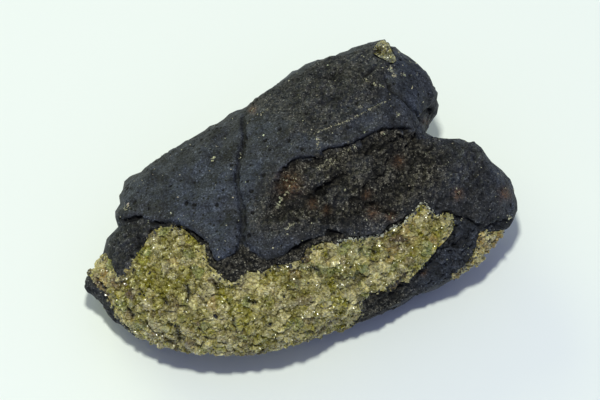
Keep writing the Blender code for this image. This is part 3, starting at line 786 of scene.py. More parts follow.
def facets(points, spacing, tilt, groove, seed):
    """A height for each point, as if the surface were broken into small tilted planes."""
    own, seeds, border = nearest_seeds(points, spacing, seed)
    chance = chances(own, seed + 0.5, 4) - 0.5
    height = ((points - seeds) * chance[:, :3]).sum(axis=1) * TILT_GAIN * tilt + chance[:, 3] * spacing * tilt
    return height - groove * spacing * (1 - ramp(border, 0.0, GROOVE_WIDTH * spacing))


def crevice_share(points):
    """1 in the middle of a crevice of the nodule, 0 away from them."""
    u, v, _ = seen(points).T
    return largest(*(bump(distance_to_line(u, v, line), CREVICE_WIDTH) for line in CREVICES))


def grainy_mass(node, name):
    """The node's form, broken into facets where it lies open and swollen where it meets the crust."""
    mass = fine_copy(node, name, MASS_NET)
    points, normals = points_of(mass), normals_of(mass)
    air = clear_ahead(crust_solid, points, normals)
    skin = np.full(len(points), WALL_SWELL)
    shown = points[air]
    relief = sum(facets(shown, *facet) for facet in FACETS) - CREVICE_DEPTH * crevice_share(shown)
    skin[air] = (relief - LEVEL).clip(DEEPEST, PROUDEST)
    set_points(mass, points + normals * skin[:, None])
    keep_in_box(mass)
    set_attribute(mass, "air", air.astype(float))
    return mass


nodule = grainy_mass("dunite_nodule", "nodule")
chip = grainy_mass("dunite_chip", "chip")
print("nodule:", triangles(nodule), "chip:", triangles(chip), "triangles")

# %% [markdown]
# ## The colours of dunite
#
# Olivine is olive to straw yellow. It is deep in colour where light passes through a whole grain, pale
# where a grain is bruised, a pale tint that also serves as painted glints, and amber or brown where it
# has begun to rust. The ground changes from pale
# to deep over a few millimetres, and some patches lean to a tint of their own. So each cluster and each
# grain draws its tint by chance, with odds that depend on where it lies.

# %% Tints
TINTS = {
    "olive": (0.270, 0.248, 0.070),
    "straw": (0.570, 0.525, 0.240),
    "beige": (0.405, 0.374, 0.195),
    "deep": (0.285, 0.266, 0.034),
    "green": (0.205, 0.240, 0.080),
    "amber": (0.370, 0.270, 0.085),
    "brown": (0.140, 0.105, 0.050),
    "dark": (0.030, 0.025, 0.014),
    "slate": (0.060, 0.060, 0.072),
    "dusty": (0.170, 0.178, 0.119),
}
TINT_BALANCE = (1.03, 0.985, 1.05)  # shares of red, green and blue, for the whole palette
PALE_GROUND = {
    "straw": 0.40, "beige": 0.30, "olive": 0.16, "green": 0.04, "amber": 0.02, "brown": 0.05, "dark": 0.03,
}
DEEP_GROUND = {"olive": 0.34, "deep": 0.28, "straw": 0.20, "green": 0.10, "brown": 0.05, "dark": 0.03}
GROUND_SIZE, GROUND_SEED = 4.5, 51  # millimetres from a pale part to a deep one
PATCHES = [
    (-38.5, -20.0, 5.5, {"deep": 0.70, "olive": 0.20, "straw": 0.10}),
    (-33.8, -21.3, 3.0, {"deep": 0.60, "olive": 0.20, "straw": 0.20}),
    (-13.0, -30.3, 3.2, {"deep": 0.65, "olive": 0.25, "straw": 0.10}),
    (-49.0, -19.5, 4.8, {"beige": 0.30, "brown": 0.33, "amber": 0.25, "straw": 0.12}),
    (-40.5, -24.6, 2.6, {"beige": 0.50, "brown": 0.35, "dark": 0.15}),
    (48.0, -11.0, 7.0, {"amber": 0.35, "beige": 0.35, "brown": 0.08, "straw": 0.22}),
    (30.0, -11.0, 6.0, {"deep": 0.30, "straw": 0.35, "amber": 0.20, "olive": 0.15}),
    (13.0, -13.5, 4.0, {"green": 0.45, "olive": 0.30, "straw": 0.25}),
    (32.0, -13.8, 1.6, {"green": 0.80, "straw": 0.20}),
    (24.5, -9.8, 1.4, {"brown": 0.60, "dark": 0.30, "olive": 0.10}),
    (24.0, -21.3, 2.4, {"brown": 0.50, "beige": 0.35, "slate": 0.15}),
    (20.9, 37.0, 4.0, {"dusty": 0.65, "olive": 0.10, "brown": 0.10, "dark": 0.15}),
    (21.3, 38.7, 1.3, {"beige": 0.80, "straw": 0.20}),
    (16.8, -25.3, 1.9, {"slate": 1.00}),
    (19.3, -23.8, 1.8, {"slate": 1.00}),
    # The last three patches darken the nodule along its lower edge, where it turns under away from the light:
    # painted shade.
    (-30.0, -36.0, 6.0, {"olive": 0.45, "brown": 0.20, "beige": 0.25, "dark": 0.10}),
    (-14.0, -38.5, 4.5, {"olive": 0.40, "brown": 0.30, "beige": 0.15, "dark": 0.15}),
    (4.0, -36.5, 4.0, {"olive": 0.40, "brown": 0.30, "beige": 0.15, "dark": 0.15}),
]
PATCH_STRENGTH = 0.95
CLUSTER_SHARE, GRAIN_SHARE = 0.6, 0.4
# The pale tint is partly bruised olivine and partly a painted glint. The clear splinters have neither.
BRUISE_AND_GLINT_TINT, BRUISE_AND_GLINT_STRENGTH = (0.85, 0.78, 0.44), 0.7
CLEAR_SPLINTERS = 0.88  # the share of splinters without a bruise
# CREVICE_SHADE is painted shade: how far the tint darkens in a crevice.
CREVICE_SHADE = 0.95


def chosen_tints(cells, seeds, number):
    """A tint for each cell, chosen by chance but leaning to the tints of its patch."""
    u, v, _ = seen(seeds).T
    names = list(TINTS)
    grounds = (PALE_GROUND, DEEP_GROUND)
    pale, deep = (np.array([ground.get(name, 0.0) for name in names]) for ground in grounds)
    lean = ramp(lumps(seeds, GROUND_SIZE, GROUND_SEED), -0.25, 0.25)[:, None]
    odds = pale * (1 - lean) + deep * lean
    for pu, pv, radius, leaning in PATCHES:
        share = PATCH_STRENGTH * bump(np.hypot(u - pu, v - pv), radius)[:, None]
        odds = odds * (1 - share) + share * np.array([leaning.get(name, 0.0) for name in names])
    odds = np.cumsum(odds / odds.sum(axis=1, keepdims=True), axis=1)
    chance = chances(cells, number, 2)
    pick = (chance[:, :1] > odds).sum(axis=1).clip(0, len(names) - 1)
    palette = np.array([TINTS[name] for name in names]) * TINT_BALANCE
    return palette[pick] * (0.8 + 0.4 * chance[:, 1:])


def tints_at(places):
    """The tint of a place: that of its cluster mixed with that of its grain, its splinter's brightness, and
    painted glints and crevice shade.
    """
    colours = []
    for spacing, seed in ((CLUSTER, CLUSTER_SEED), (GRAIN, GRAIN_SEED)):
        cells, seeds, _ = nearest_seeds(places, spacing, seed)
        colours.append(chosen_tints(cells, seeds, seed + 0.7))
    splinters, _, _ = nearest_seeds(places, SPLINTER, SPLINTER_SEED)
    # Each splinter draws a chance brightness, partly its own tone and partly a painted reflection off its
    # facet.
    light, bruise_and_glint = chances(splinters, SPLINTER_SEED + 0.9, 2).T[:, :, None]
    # A few splinters take the pale tint, partly a bruise and partly a painted glint.
    bruise_and_glint = ramp(bruise_and_glint, CLEAR_SPLINTERS, 1.0)
    tint = (CLUSTER_SHARE * colours[0] + GRAIN_SHARE * colours[1]) * (0.70 + 0.55 * light)
    tint = tint * (1 - BRUISE_AND_GLINT_STRENGTH * bruise_and_glint) + BRUISE_AND_GLINT_STRENGTH * bruise_and_glint * np.array(BRUISE_AND_GLINT_TINT)
    # Painted shade darkens the tint in the crevices.
    return tint * (1 - CREVICE_SHADE * crevice_share(places)[:, None])


def with_alpha(colours):
    return np.hstack([colours, np.ones((len(colours), 1))])


for mass in (nodule, chip):
    set_attribute(mass, "tint", with_alpha(tints_at(points_of(mass))))
print("tints:", len(TINTS), "patches:", len(PATCHES))

# %% [markdown]
# ## Grains of olivine
#
# Single grains stand out of the mass, and their flat broken faces give dunite its glints. A grain is
# a small block with its corners struck off: a cube, cut a few times by a plane that leaves a flat
# face. A few such blocks are made once, as a few are enough once each copy is turned and stretched.

# %% Blocks with struck corners
BLOCK_SEED, BLOCK_COUNT, CUTS = 3, 6, 5
BLOCK_WIDTH, CUT_NEAREST, CUT_FURTHEST = 1.5, 0.35, 0.75  # in radii of the grain


def struck_block(rng):
    """A grain of radius 1, as its vertices and its faces."""
    bpy.ops.object.select_all(action="DESELECT")
    bpy.ops.mesh.primitive_cube_add(size=BLOCK_WIDTH)
    block = bpy.context.active_object
    bpy.ops.object.mode_set(mode="EDIT")
    for _ in range(CUTS):
        bpy.ops.mesh.select_all(action="SELECT")
        way = Vector(rng.normal(size=3)).normalized()
        reach = rng.uniform(CUT_NEAREST, CUT_FURTHEST)
        bpy.ops.mesh.bisect(plane_co=way * reach, plane_no=way, use_fill=True, clear_outer=True)
    bpy.ops.mesh.select_all(action="SELECT")
    bpy.ops.mesh.quads_convert_to_tris()
    bpy.ops.mesh.normals_make_consistent(inside=False)
    bpy.ops.object.mode_set(mode="OBJECT")
    vertices = np.array([tuple(vertex.co) for vertex in block.data.vertices])
    faces = np.array([tuple(face.vertices) for face in block.data.polygons])
    bpy.data.objects.remove(block)
    return vertices, faces


block_rng = np.random.default_rng(BLOCK_SEED)
blocks = [struck_block(block_rng) for _ in range(BLOCK_COUNT)]
print("faces of a grain:", [len(faces) for _, faces in blocks])

# %% [markdown]
# Grains crowd each other, but none grows inside another. So places are picked in a chance order, and
# each is kept only if no kept one lies too near. Thousands of grains are then joined into one mesh,
# each a turned, stretched and tinted copy of a block: one mesh is far lighter than as many objects.

# %% Scatter places over a surface
LEAST_STRETCH, MOST_STRETCH = 0.55, 1.4
RADIUS_SPREAD = 0.35


def scatter(points, spacing, rng):
    """Picks points in a chance order, and keeps each that is at least spacing from those kept."""
    taken, kept = {}, []
    for k in rng.permutation(len(points)):
        cell = tuple((points[k] // spacing).astype(int))
        near = (
            other
            for dx, dy, dz in itertools.product((-1, 0, 1), repeat=3)
            for other in taken.get((cell[0] + dx, cell[1] + dy, cell[2] + dz), ())
        )
        if all(math.dist(points[k], points[other]) >= spacing for other in near):
            taken.setdefault(cell, []).append(k)
            kept.append(k)
    return np.array(kept)


def random_turns(count, rng):
    """Random rotation matrices, as many as asked for."""
    turns, _ = np.linalg.qr(rng.normal(size=(count, 3, 3)))
    turns[np.linalg.det(turns) < 0, :, 0] *= -1
    return turns


def grain_radii(middle, least, most, count, rng):
    """Chance radii round a middle one, in millimetres: many a little smaller, a few much larger."""
    return rng.lognormal(math.log(middle), RADIUS_SPREAD, count).clip(least, most)


def join_grains(name, places, radii, tints, rng):
    """One mesh of many grains, each block turned and stretched by chance."""
    turns = random_turns(len(places), rng)
    stretch = rng.uniform(LEAST_STRETCH, MOST_STRETCH, (len(places), 3))
    kinds = rng.integers(0, BLOCK_COUNT, len(places))
    vertices, faces, colours, count = [], [], [], 0
    for place, radius, tint, turn, pull, kind in zip(places, radii, tints, turns, stretch, kinds):
        shape, sides = blocks[kind]
        vertices.append((shape * pull * radius) @ turn.T + place)
        faces.append(sides + count)
        colours.append(np.tile(tint, (len(shape), 1)))
        count += len(shape)
    mesh = bpy.data.meshes.new(name)
    mesh.from_pydata((np.vstack(vertices) * MM).tolist(), [], np.vstack(faces).tolist())
    mesh.update()
    obj = bpy.data.objects.new(name, mesh)
    bpy.context.scene.collection.objects.link(obj)
    keep_in_box(obj)
    set_attribute(obj, "tint", with_alpha(np.vstack(colours)))
    return obj


# %% [markdown]
# Grains cover the nodule and the chip wherever they lie open. Each is sunk to about its own radius, so
# that it looks grown in and not strewn on. The crevices stay free.

# %% Cover the nodule and the chip
COVER_SEED = 17
NODULE_SPACING, NODULE_RADII = 1.05, (0.52, 0.2, 0.9)  # radii: the middle, least and most
CHIP_SPACING, CHIP_RADII = 0.90, (0.40, 0.2, 0.9)
CREVICE_FREE = 0.2  # no grain where the share of a crevice is higher
LEAST_SUNK, MOST_SUNK = 0.7, 1.15  # in radii
LEFT_END = -52.2  # no grain further out than this, or it would stand off the stone's left end


def open_points(mass):
    """The mass's points and normals where it lies in the open."""
    air = np.empty(len(mass.data.vertices))
    mass.data.attributes["air"].data.foreach_get("value", air)
    return points_of(mass)[air > 0.5], normals_of(mass)[air > 0.5]


def cover(mass, name, spacing, sizes):
    """Grains of these sizes over the open part of the mass."""
    rng = np.random.default_rng(COVER_SEED)
    points, normals = open_points(mass)
    kept = scatter(points, spacing, rng)
    kept = kept[(crevice_share(points[kept]) < CREVICE_FREE) & (points[kept][:, 0] > LEFT_END)]
    radii = grain_radii(*sizes, len(kept), rng)
    places = points[kept] - normals[kept] * (radii * rng.uniform(LEAST_SUNK, MOST_SUNK, len(kept)))[:, None]
    return join_grains(name, places, radii, tints_at(points[kept]), rng)


nodule_grains = cover(nodule, "nodule_grains", NODULE_SPACING, NODULE_RADII)
chip_grains = cover(chip, "chip_grains", CHIP_SPACING, CHIP_RADII)
print("grains:", triangles(nodule_grains) + triangles(chip_grains), "triangles")

# %% [markdown]
# ## Grains along the rim
#
# The line between crust and nodule is never clean. Grains of olivine cling to the edge of the crust,
# and crumbs of basalt stick to the nodule. Along one stretch of the rim the grains are bleached, and
# a fringe of fine ones hangs there, strewn along a line on whichever of the two lies uppermost.

# %% Grains on the crust's edge, crumbs of crust on the nodule
RIM_SEED = 29
RIM_SPACING, BIT_SPACING = 0.75, 0.7
RIM_RADII, BIT_RADII, FRINGE_RADII = (0.28, 0.12, 0.6), (0.24, 0.10, 0.5), (0.17, 0.08, 0.35)
RIM_WIDTH, FRINGE_REACH, BLEACHED_SHARE = 0.9, 1.6, 0.85
BIT_REACH, BIT_SHARE = 0.7, 0.6  # how far from the crust its crumbs stick, and how many of the places
CRUMB_SHADES = (0.5, 1.6)
FRINGE = [
    (9.5, -9.9), (11.6, -9.7), (14.5, -9.5), (18.0, -9.0), (20.8, -8.5), (22.7, -6.8), (25.5, -6.0),
    (27.7, -3.8), (29.9, -0.8), (31.2, -1.0), (31.8, -2.6), (33.1, -3.2),
]
FRINGE_DENSITY, FRINGE_WIDTH = 6.5, 0.24  # grains to a millimetre of the line, and how far they stray
BLEACHED = (0.52, 0.52, 0.40)
BASALT_CRUMB = (0.030, 0.030, 0.029)


def bleached(count, rng):
    """The tints of bleached grains, each a little lighter or darker."""
    return np.array(BLEACHED) * rng.uniform(0.6, 1.2, (count, 1))


def rim_grains():
    """Grains that cling to the crust's edge, close to the dunite."""
    rng = np.random.default_rng(RIM_SEED)
    points, normals = points_of(crust), normals_of(crust)
    near = distances_to(nodule_surface, points)
    ahead = clear_ahead(nodule_surface, points, normals)
    chance = rng.random(len(points))
    u, v, _ = seen(points).T
    in_fringe = bump(distance_to_line(u, v, FRINGE), 1.5)
    share = (0.4 + 0.6 * in_fringe) * bump(near, 0.5 + 0.3 * in_fringe)
    on_rim = ahead & (near < RIM_WIDTH) & (chance < share)
    points = points[on_rim]
    kept = scatter(points, RIM_SPACING, rng)
    kept = kept[points[kept][:, 0] > LEFT_END]
    places = points[kept]
    u, v, _ = seen(places).T
    radii = grain_radii(*RIM_RADII, len(kept), rng)
    tints = tints_at(places)
    pale = (distance_to_line(u, v, FRINGE) < FRINGE_REACH) & (rng.random(len(kept)) < BLEACHED_SHARE)
    tints[pale] = bleached(int(pale.sum()), rng)
    return join_grains("rim_grains", places, radii, tints, rng)


def crust_bits():
    """Crumbs of basalt that stick to the nodule near the crust."""
    rng = np.random.default_rng(RIM_SEED + 1)
    points, _ = open_points(nodule)
    near = distances_to(crust_solid, points)
    points = points[rng.random(len(points)) < BIT_SHARE * bump(near, BIT_REACH)]
    kept = scatter(points, BIT_SPACING, rng)
    radii = grain_radii(*BIT_RADII, len(kept), rng)
    tints = np.array(BASALT_CRUMB) * rng.uniform(*CRUMB_SHADES, (len(kept), 1))
    return join_grains("crust_bits", points[kept], radii, tints, rng)


def strewn(line, density, stray, rng):
    """Places along the line, this many to a millimetre, each strayed from it by chance."""
    for (au, av), (bu, bv) in along(line):
        for t in rng.random(round(density * math.hypot(bu - au, bv - av))):
            du, dv = rng.normal(0, stray, 2)
            yield au + t * (bu - au) + du, av + t * (bv - av) + dv


def fringe_grains():
    """Bleached grains on whichever of crust and nodule the view shows along the fringe."""
    rng = np.random.default_rng(RIM_SEED + 2)
    surfaces, places = (crust_surface, surface_of(nodule)), []
    for u, v in strewn(FRINGE, FRINGE_DENSITY, FRINGE_WIDTH, rng):
        hits = [nearest_seen(surface, u, v)[0] for surface in surfaces]
        places.append(max((np.array(hit) for hit in hits if hit), key=lambda place: seen(place)[2]))
    radii = grain_radii(*FRINGE_RADII, len(places), rng)
    return join_grains("fringe_grains", np.array(places), radii, bleached(len(places), rng), rng)


crust_surface = surface_of(crust)
rim = rim_grains()
bits = crust_bits()
fringe = fringe_grains()
print("rim grains:", triangles(rim), "crust bits:", triangles(bits), "fringe:", triangles(fringe))

# %% [markdown]
# ## Crumbs in the crust
#
# The lava tore small olivine grains off the nodule. They sit in the crust as pale crumbs, here and
# there on their own, and along the healed cracks.

# %% Crumbs and veins
CRUMB_SEED, CRUMB_COUNT = 23, 260
LOOSE_CRUMB = 0.13  # the middle radius of a crumb on its own, in millimetres
CLEAR_OF_DUNITE = 1.5  # millimetres
FRAGMENTS = 3  # a placed crumb is a small cluster
VEIN_DENSITY, VEIN_STRAY = 3.2, 0.17
VEIN_CRUMB, VEIN_SPREAD, LARGEST_IN_VEIN = 0.11, 0.45, 0.30
PLACED_CRUMBS = [
    (-21.5, 10.0, 0.50), (-42.8, -1.2, 0.45), (-42.2, -1.7, 0.40), (-43.1, -2.0, 0.35),
    (-43.4, -1.3, 0.30), (-5.2, -1.5, 0.60), (-5.1, -0.3, 0.48), (-4.6, 0.4, 0.52),
    (-3.2, 2.0, 0.60), (-3.8, 4.7, 0.46), (-1.8, 4.9, 0.42), (-3.7, 1.3, 0.36), (-2.6, 3.3, 0.36),
    (6.5, 10.0, 0.32), (8.1, 9.0, 0.30), (9.3, 8.0, 0.28), (12.9, 13.4, 0.34), (13.4, 13.0, 0.30),
    (7.4, 8.6, 0.22), (4.2, 7.8, 0.34), (22.4, 32.6, 0.50), (23.0, 31.6, 0.60), (25.6, 31.2, 0.60),
    (23.3, 30.6, 0.45), (28.0, 28.0, 0.30), (24.5, 21.3, 0.30), (15.0, 23.3, 0.30),
    (15.8, 16.8, 0.28), (20.8, 16.9, 0.55), (40.3, -4.8, 0.35), (51.6, -4.3, 0.50),
    (51.7, -3.8, 0.35), (-3.4, -7.1, 0.28), (-2.7, -6.6, 0.28), (-2.1, -6.1, 0.25),
    (-9.9, 21.3, 0.26), (-11.8, 22.5, 0.32), (38.6, 2.9, 0.22), (39.2, 1.8, 0.25),
    (11.8, 12.4, 0.24), (10.6, 11.4, 0.22), (8.6, 9.8, 0.24), (-14.7, 11.3, 0.28),
    (-14.8, 10.4, 0.26),
]
CRUMB_PALE = (0.42, 0.40, 0.27)


def crumb_spots(rng):
    """The u, v and radius of every crumb that has its place, and of those in the veins."""
    spots = []
    for u, v, radius in PLACED_CRUMBS:
        for _ in range(FRAGMENTS):
            du, dv = rng.normal(0, 0.6 * radius, 2)
            spots.append((u + du, v + dv, radius * rng.uniform(0.35, 0.85)))
    for line in VEINS:
        for u, v in strewn(line, VEIN_DENSITY, VEIN_STRAY, rng):
            radius = min(LARGEST_IN_VEIN, rng.lognormal(math.log(VEIN_CRUMB), VEIN_SPREAD))
            spots.append((u, v, radius))
    return spots


def crust_crumbs():
    """Loose crumbs anywhere on the crust, and the placed ones on what the view shows."""
    rng = np.random.default_rng(CRUMB_SEED)
    points = points_of(crust)
    away = np.flatnonzero(distances_to(nodule_surface, points) > CLEAR_OF_DUNITE)
    places = list(points[rng.choice(away, CRUMB_COUNT)])
    radii = list(rng.lognormal(math.log(LOOSE_CRUMB), RADIUS_SPREAD, CRUMB_COUNT))
    for u, v, radius in crumb_spots(rng):
        hit, _ = nearest_seen(crust_surface, u, v)
        if hit:
            places.append(np.array(hit))
            radii.append(radius)
    shades = rng.uniform(0.4, 1.25, (len(places), 1))
    tints = np.array(CRUMB_PALE) * shades * rng.uniform(0.92, 1.08, (len(places), 3))
    return join_grains("crust_crumbs", np.array(places), np.array(radii), tints, rng)


crumbs = crust_crumbs()
print("crumbs:", triangles(crumbs), "triangles")

# %% [markdown]
# Dunite carries a little chromite, a black ore of chromium, in single glossy grains between the
# olivine. They are the same struck blocks in another tint, set a little proud of the nodule.

# %% Chromite in the nodule
CHROMITE_SEED, CHROMITE_PROUD = 41, 0.3  # the second in radii
CHROMITE = [
    (-7.4, -30.6, 0.62), (-20.9, -28.8, 0.55), (-39.6, -23.3, 0.48), (-38.7, -23.5, 0.42),
    (-37.0, -18.0, 0.38), (12.4, -16.5, 0.45), (-27.5, -22.6, 0.35), (-18.0, -24.5, 0.35),
    (2.0, -20.5, 0.35), (22.0, -14.0, 0.3), (-30.8, -31.0, 0.4), (-4.0, -24.0, 0.32),
]
CHROMITE_TINT = (0.012, 0.012, 0.013)


def chromite():
    rng = np.random.default_rng(CHROMITE_SEED)
    surface = surface_of(nodule)
    found = [(nearest_seen(surface, u, v), radius) for u, v, radius in CHROMITE]
    places = np.array(
        [np.array(hit) + np.array(normal) * CHROMITE_PROUD * radius for (hit, normal), radius in found]
    )
    tints = np.tile(CHROMITE_TINT, (len(places), 1))
    return join_grains("chromite", places, np.array([radius for _, radius in found]), tints, rng)


chromite_grains = chromite()
print("chromite:", triangles(chromite_grains), "triangles")

# %% [markdown]
# The masses are thinned last, as the grains were laid on their full nets. Their facets are flat, so
# decimation can take away most of the faces inside a facet and leave its edges where they are.

# %% Thin the masses
MOST_IN_NODULE, MOST_IN_CHIP = 190_000, 20_000
for mass, most in ((nodule, MOST_IN_NODULE), (chip, MOST_IN_CHIP)):
    mass.data.attributes.remove(mass.data.attributes["air"])
    apply_modifier(mass, "DECIMATE", ratio=min(1.0, most / triangles(mass)))
    keep_in_box(mass)
    print(mass.name, triangles(mass), "triangles")

# %% [markdown]
# ## Materials
#
# Every finish is a small tree of nodes on a Principled shader. All patterns read Object
# coordinates, so they stay with the stone from every side. The regions that were stored on the
# crust's points choose between the smooth bluish skin and the brown broken rock.

# %% Node helpers


def new_material(name, roughness, ior):
    material = bpy.data.materials.new(name)
    material.use_nodes = True
    shader = material.node_tree.nodes["Principled BSDF"]
    shader.inputs["Roughness"].default_value = roughness
    shader.inputs["IOR"].default_value = ior
    return material, material.node_tree, shader


def plug(tree, socket, value):
    """Links another node's output to the socket, or types a value into it."""
    if isinstance(value, bpy.types.NodeSocket):
        tree.links.new(value, socket)
    elif isinstance(value, tuple) and len(value) == 3 and socket.type == "RGBA":
        socket.default_value = (*value, 1.0)
    else:
        socket.default_value = value


def add_node(tree, kind, inputs, **settings):
    node = tree.nodes.new(kind)
    for name, value in settings.items():
        setattr(node, name, value)
    for name, value in inputs.items():
        plug(tree, node.inputs[name], value)
    return node


def place_in(tree):
    return add_node(tree, "ShaderNodeTexCoord", {}).outputs["Object"]


def noise_at(tree, size, detail=3.0, roughness=0.6):
    """Noise with features of about this size in millimetres."""
    inputs = {"Vector": place_in(tree), "Scale": 1 / (size * MM), "Detail": detail, "Roughness": roughness}
    return add_node(tree, "ShaderNodeTexNoise", inputs).outputs["Fac"]


def cells_at(tree, size):
    """Cells of about this size: three random numbers for each, and the distance to its middle."""
    node = add_node(tree, "ShaderNodeTexVoronoi", {"Vector": place_in(tree), "Scale": 1 / (size * MM)})
    split = add_node(tree, "ShaderNodeSeparateColor", {"Color": node.outputs["Color"]})
    return split.outputs["Red"], split.outputs["Green"], node.outputs["Distance"]


def mixed(tree, factor, first, second, blend="MIX"):
    """Colour first turned into colour second as factor goes from 0 to 1."""
    node = tree.nodes.new("ShaderNodeMix")
    node.data_type, node.blend_type = "RGBA", blend
    for socket, value in ((node.inputs[0], factor), (node.inputs[6], first), (node.inputs[7], second)):
        plug(tree, socket, value)
    return node.outputs[2]


def stretched(tree, value, low, high, start=0.0, end=1.0):
    """value stretched so that low becomes start and high becomes end."""
    inputs = {"Value": value, "From Min": low, "From Max": high, "To Min": start, "To Max": end}
    return add_node(tree, "ShaderNodeMapRange", inputs).outputs["Result"]


def worked(tree, operation, *values):
    node = tree.nodes.new("ShaderNodeMath")
    node.operation = operation
    for socket, value in zip(node.inputs, values):
        plug(tree, socket, value)
    return node.outputs[0]


def stored(tree, name, output="Fac"):
    return add_node(tree, "ShaderNodeAttribute", {}, attribute_name=name).outputs[output]


def bumped(tree, shader, heights):
    """Adds fine bumps to the shader: heights is a list of (value, strength, millimetres)."""
    normal = None
    for value, strength, reach in heights:
        inputs = {"Height": value, "Strength": strength, "Distance": reach * MM}
        if normal:
            inputs["Normal"] = normal
        normal = add_node(tree, "ShaderNodeBump", inputs).outputs["Normal"]
    tree.links.new(normal, shader.inputs["Normal"])


# %% [markdown]
# Fresh basalt is near black, with a bluish tone where its skin froze smooth, partly its own colour and
# partly a painted sheen. Where it is broken it is brown and matt, with painted highlights on its crests,
# black holes turned dark by painted shade, and rust. Noise of several sizes mixes these colours, and the
# shares stored on the points say where each belongs, painted shade in creases, gaps and pits among them.
# Bumps finer than the net do the rest.

# %% Basalt
SKIN_DARK, SKIN_BLUE_SHEEN = (0.0186, 0.0198, 0.0236), (0.0245, 0.0294, 0.0422)
BROKEN_BLACK, BROKEN_BROWN = (0.004, 0.004, 0.004), (0.060, 0.054, 0.041)
BROKEN_HIGHLIGHT = (0.092, 0.085, 0.064)
SKIN_SPECK, BROKEN_SPECK = (0.095, 0.110, 0.140), (0.200, 0.188, 0.150)
RUST, PALE_SPECK = (0.150, 0.076, 0.036), (0.360, 0.335, 0.220)
DEEP_SHADE = (0.002, 0.002, 0.002)
BASALT_ROUGHNESS, BASALT_IOR = 0.6, 1.30
BROAD, MIDDLE, SMALL, GRIT, SPECK, HOLE, CLOUD = 14, 2.4, 0.9, 0.42, 0.27, 1.3, 4.0  # millimetres


def basalt_material():
    material, tree, shader = new_material("basalt", BASALT_ROUGHNESS, BASALT_IOR)
    shares = ("brown", "dark", "crest_highlight", "rust", "pale")
    brown, dark, crest_highlight, rust, pale = (stored(tree, name) for name in shares)
    broad, middle, small = noise_at(tree, BROAD, 2), noise_at(tree, MIDDLE, 4), noise_at(tree, SMALL, 3)
    grit = noise_at(tree, GRIT, 4, 0.75)
    first, second, _ = cells_at(tree, SPECK)
    third, _, middle_distance = cells_at(tree, HOLE)
    # The bluish colour is partly the skin's own tone and partly a painted sheen, mixed in by broad noise.
    skin = mixed(tree, stretched(tree, broad, 0.40, 0.62), SKIN_DARK, SKIN_BLUE_SHEEN)
    skin = mixed(tree, stretched(tree, middle, 0.50, 0.75, 0.0, 0.7), skin, SKIN_DARK)
    skin = mixed(tree, stretched(tree, first, 0.80, 0.94, 0.0, 0.45), skin, SKIN_SPECK)
    broken = mixed(tree, stretched(tree, small, 0.44, 0.62), BROKEN_BLACK, BROKEN_BROWN)
    # Painted highlight: the broken crests are made lighter in colour.
    painted_crest_highlight = worked(tree, "MULTIPLY", crest_highlight, stretched(tree, grit, 0.40, 0.60, 0.0, 0.6))
    broken = mixed(tree, painted_crest_highlight, broken, BROKEN_HIGHLIGHT)
    broken = mixed(tree, stretched(tree, first, 0.90, 0.96, 0.0, 0.8), broken, BROKEN_SPECK)
    colour = mixed(tree, brown, skin, broken)
    low_shade = mixed(tree, brown, (0.25,) * 3, (0.1,) * 3)
    high_shade = mixed(tree, brown, (1.9,) * 3, (2.4,) * 3)
    shade = mixed(tree, stretched(tree, grit, 0.36, 0.64), low_shade, high_shade)
    colour = mixed(tree, 1.0, colour, shade, "MULTIPLY")
    cloud = stretched(tree, noise_at(tree, CLOUD, 4, 0.7), 0.38, 0.62)
    colour = mixed(tree, 1.0, colour, mixed(tree, cloud, (0.50,) * 3, (1.50,) * 3), "MULTIPLY")
    # The holes are small pits, dented by a bump and turned black by painted shade.
    chosen, core = stretched(tree, third, 0.50, 0.52), stretched(tree, middle_distance, 0.27, 0.17)
    hole = worked(tree, "MULTIPLY", chosen, core)
    colour = mixed(tree, hole, colour, BROKEN_BLACK)
    rusty = worked(tree, "MULTIPLY", rust, stretched(tree, grit, 0.41, 0.57, 0.0, 0.9))
    colour = mixed(tree, rusty, colour, RUST)
    specks = worked(tree, "ADD", second, worked(tree, "MULTIPLY", pale, 0.30))
    colour = mixed(tree, stretched(tree, specks, 1.0, 1.10, 0.0, 0.75), colour, PALE_SPECK)
    # Painted shade: the stored darkness turns the colour near black in creases, gaps and pits.
    colour = mixed(tree, worked(tree, "MULTIPLY", dark, 0.95), colour, DEEP_SHADE)
    tree.links.new(colour, shader.inputs["Base Color"])
    torn = worked(tree, "MULTIPLY", grit, stretched(tree, brown, 0.0, 1.0, 0.7, 2.2))
    bumped(tree, shader, [(small, 0.6, 0.30), (torn, 0.9, 0.18), (hole, -1.0, 0.20)])
    return material


# %% [markdown]
# Olivine is a glassy mineral, so light goes a little way into a grain before it comes back: that is
# the subsurface share. Each grain has its own stored tint, clouded by noise, and small tilted cells
# give it facets that are too fine for the mesh. Crumbs, bits and ore are plainer and take no light in.

# %% Dunite, crumbs and chromite
OLIVINE_IOR, GRAIN_IOR = 1.65, 1.5
GLOW_COLOUR, GLOW_DEPTH = (1.0, 0.9, 0.35), 0.9  # the second in millimetres
LARGE_FACET, SMALL_FACET = 1.1, 0.5  # millimetres


def tilted_cells(tree, size):
    """Heights of small cells that each tilt their own way, for facets too fine for the mesh."""
    vector = place_in(tree)
    cells = add_node(tree, "ShaderNodeTexVoronoi", {"Vector": vector, "Scale": 1 / (size * MM)})
    math_node = "ShaderNodeVectorMath"
    from_seed = add_node(tree, math_node, {0: vector, 1: cells.outputs["Position"]}, operation="SUBTRACT")
    tilt = add_node(tree, math_node, {0: cells.outputs["Color"], 1: (0.5, 0.5, 0.5)}, operation="SUBTRACT")
    inputs = {0: from_seed.outputs["Vector"], 1: tilt.outputs["Vector"]}
    return add_node(tree, math_node, inputs, operation="DOT_PRODUCT").outputs["Value"]


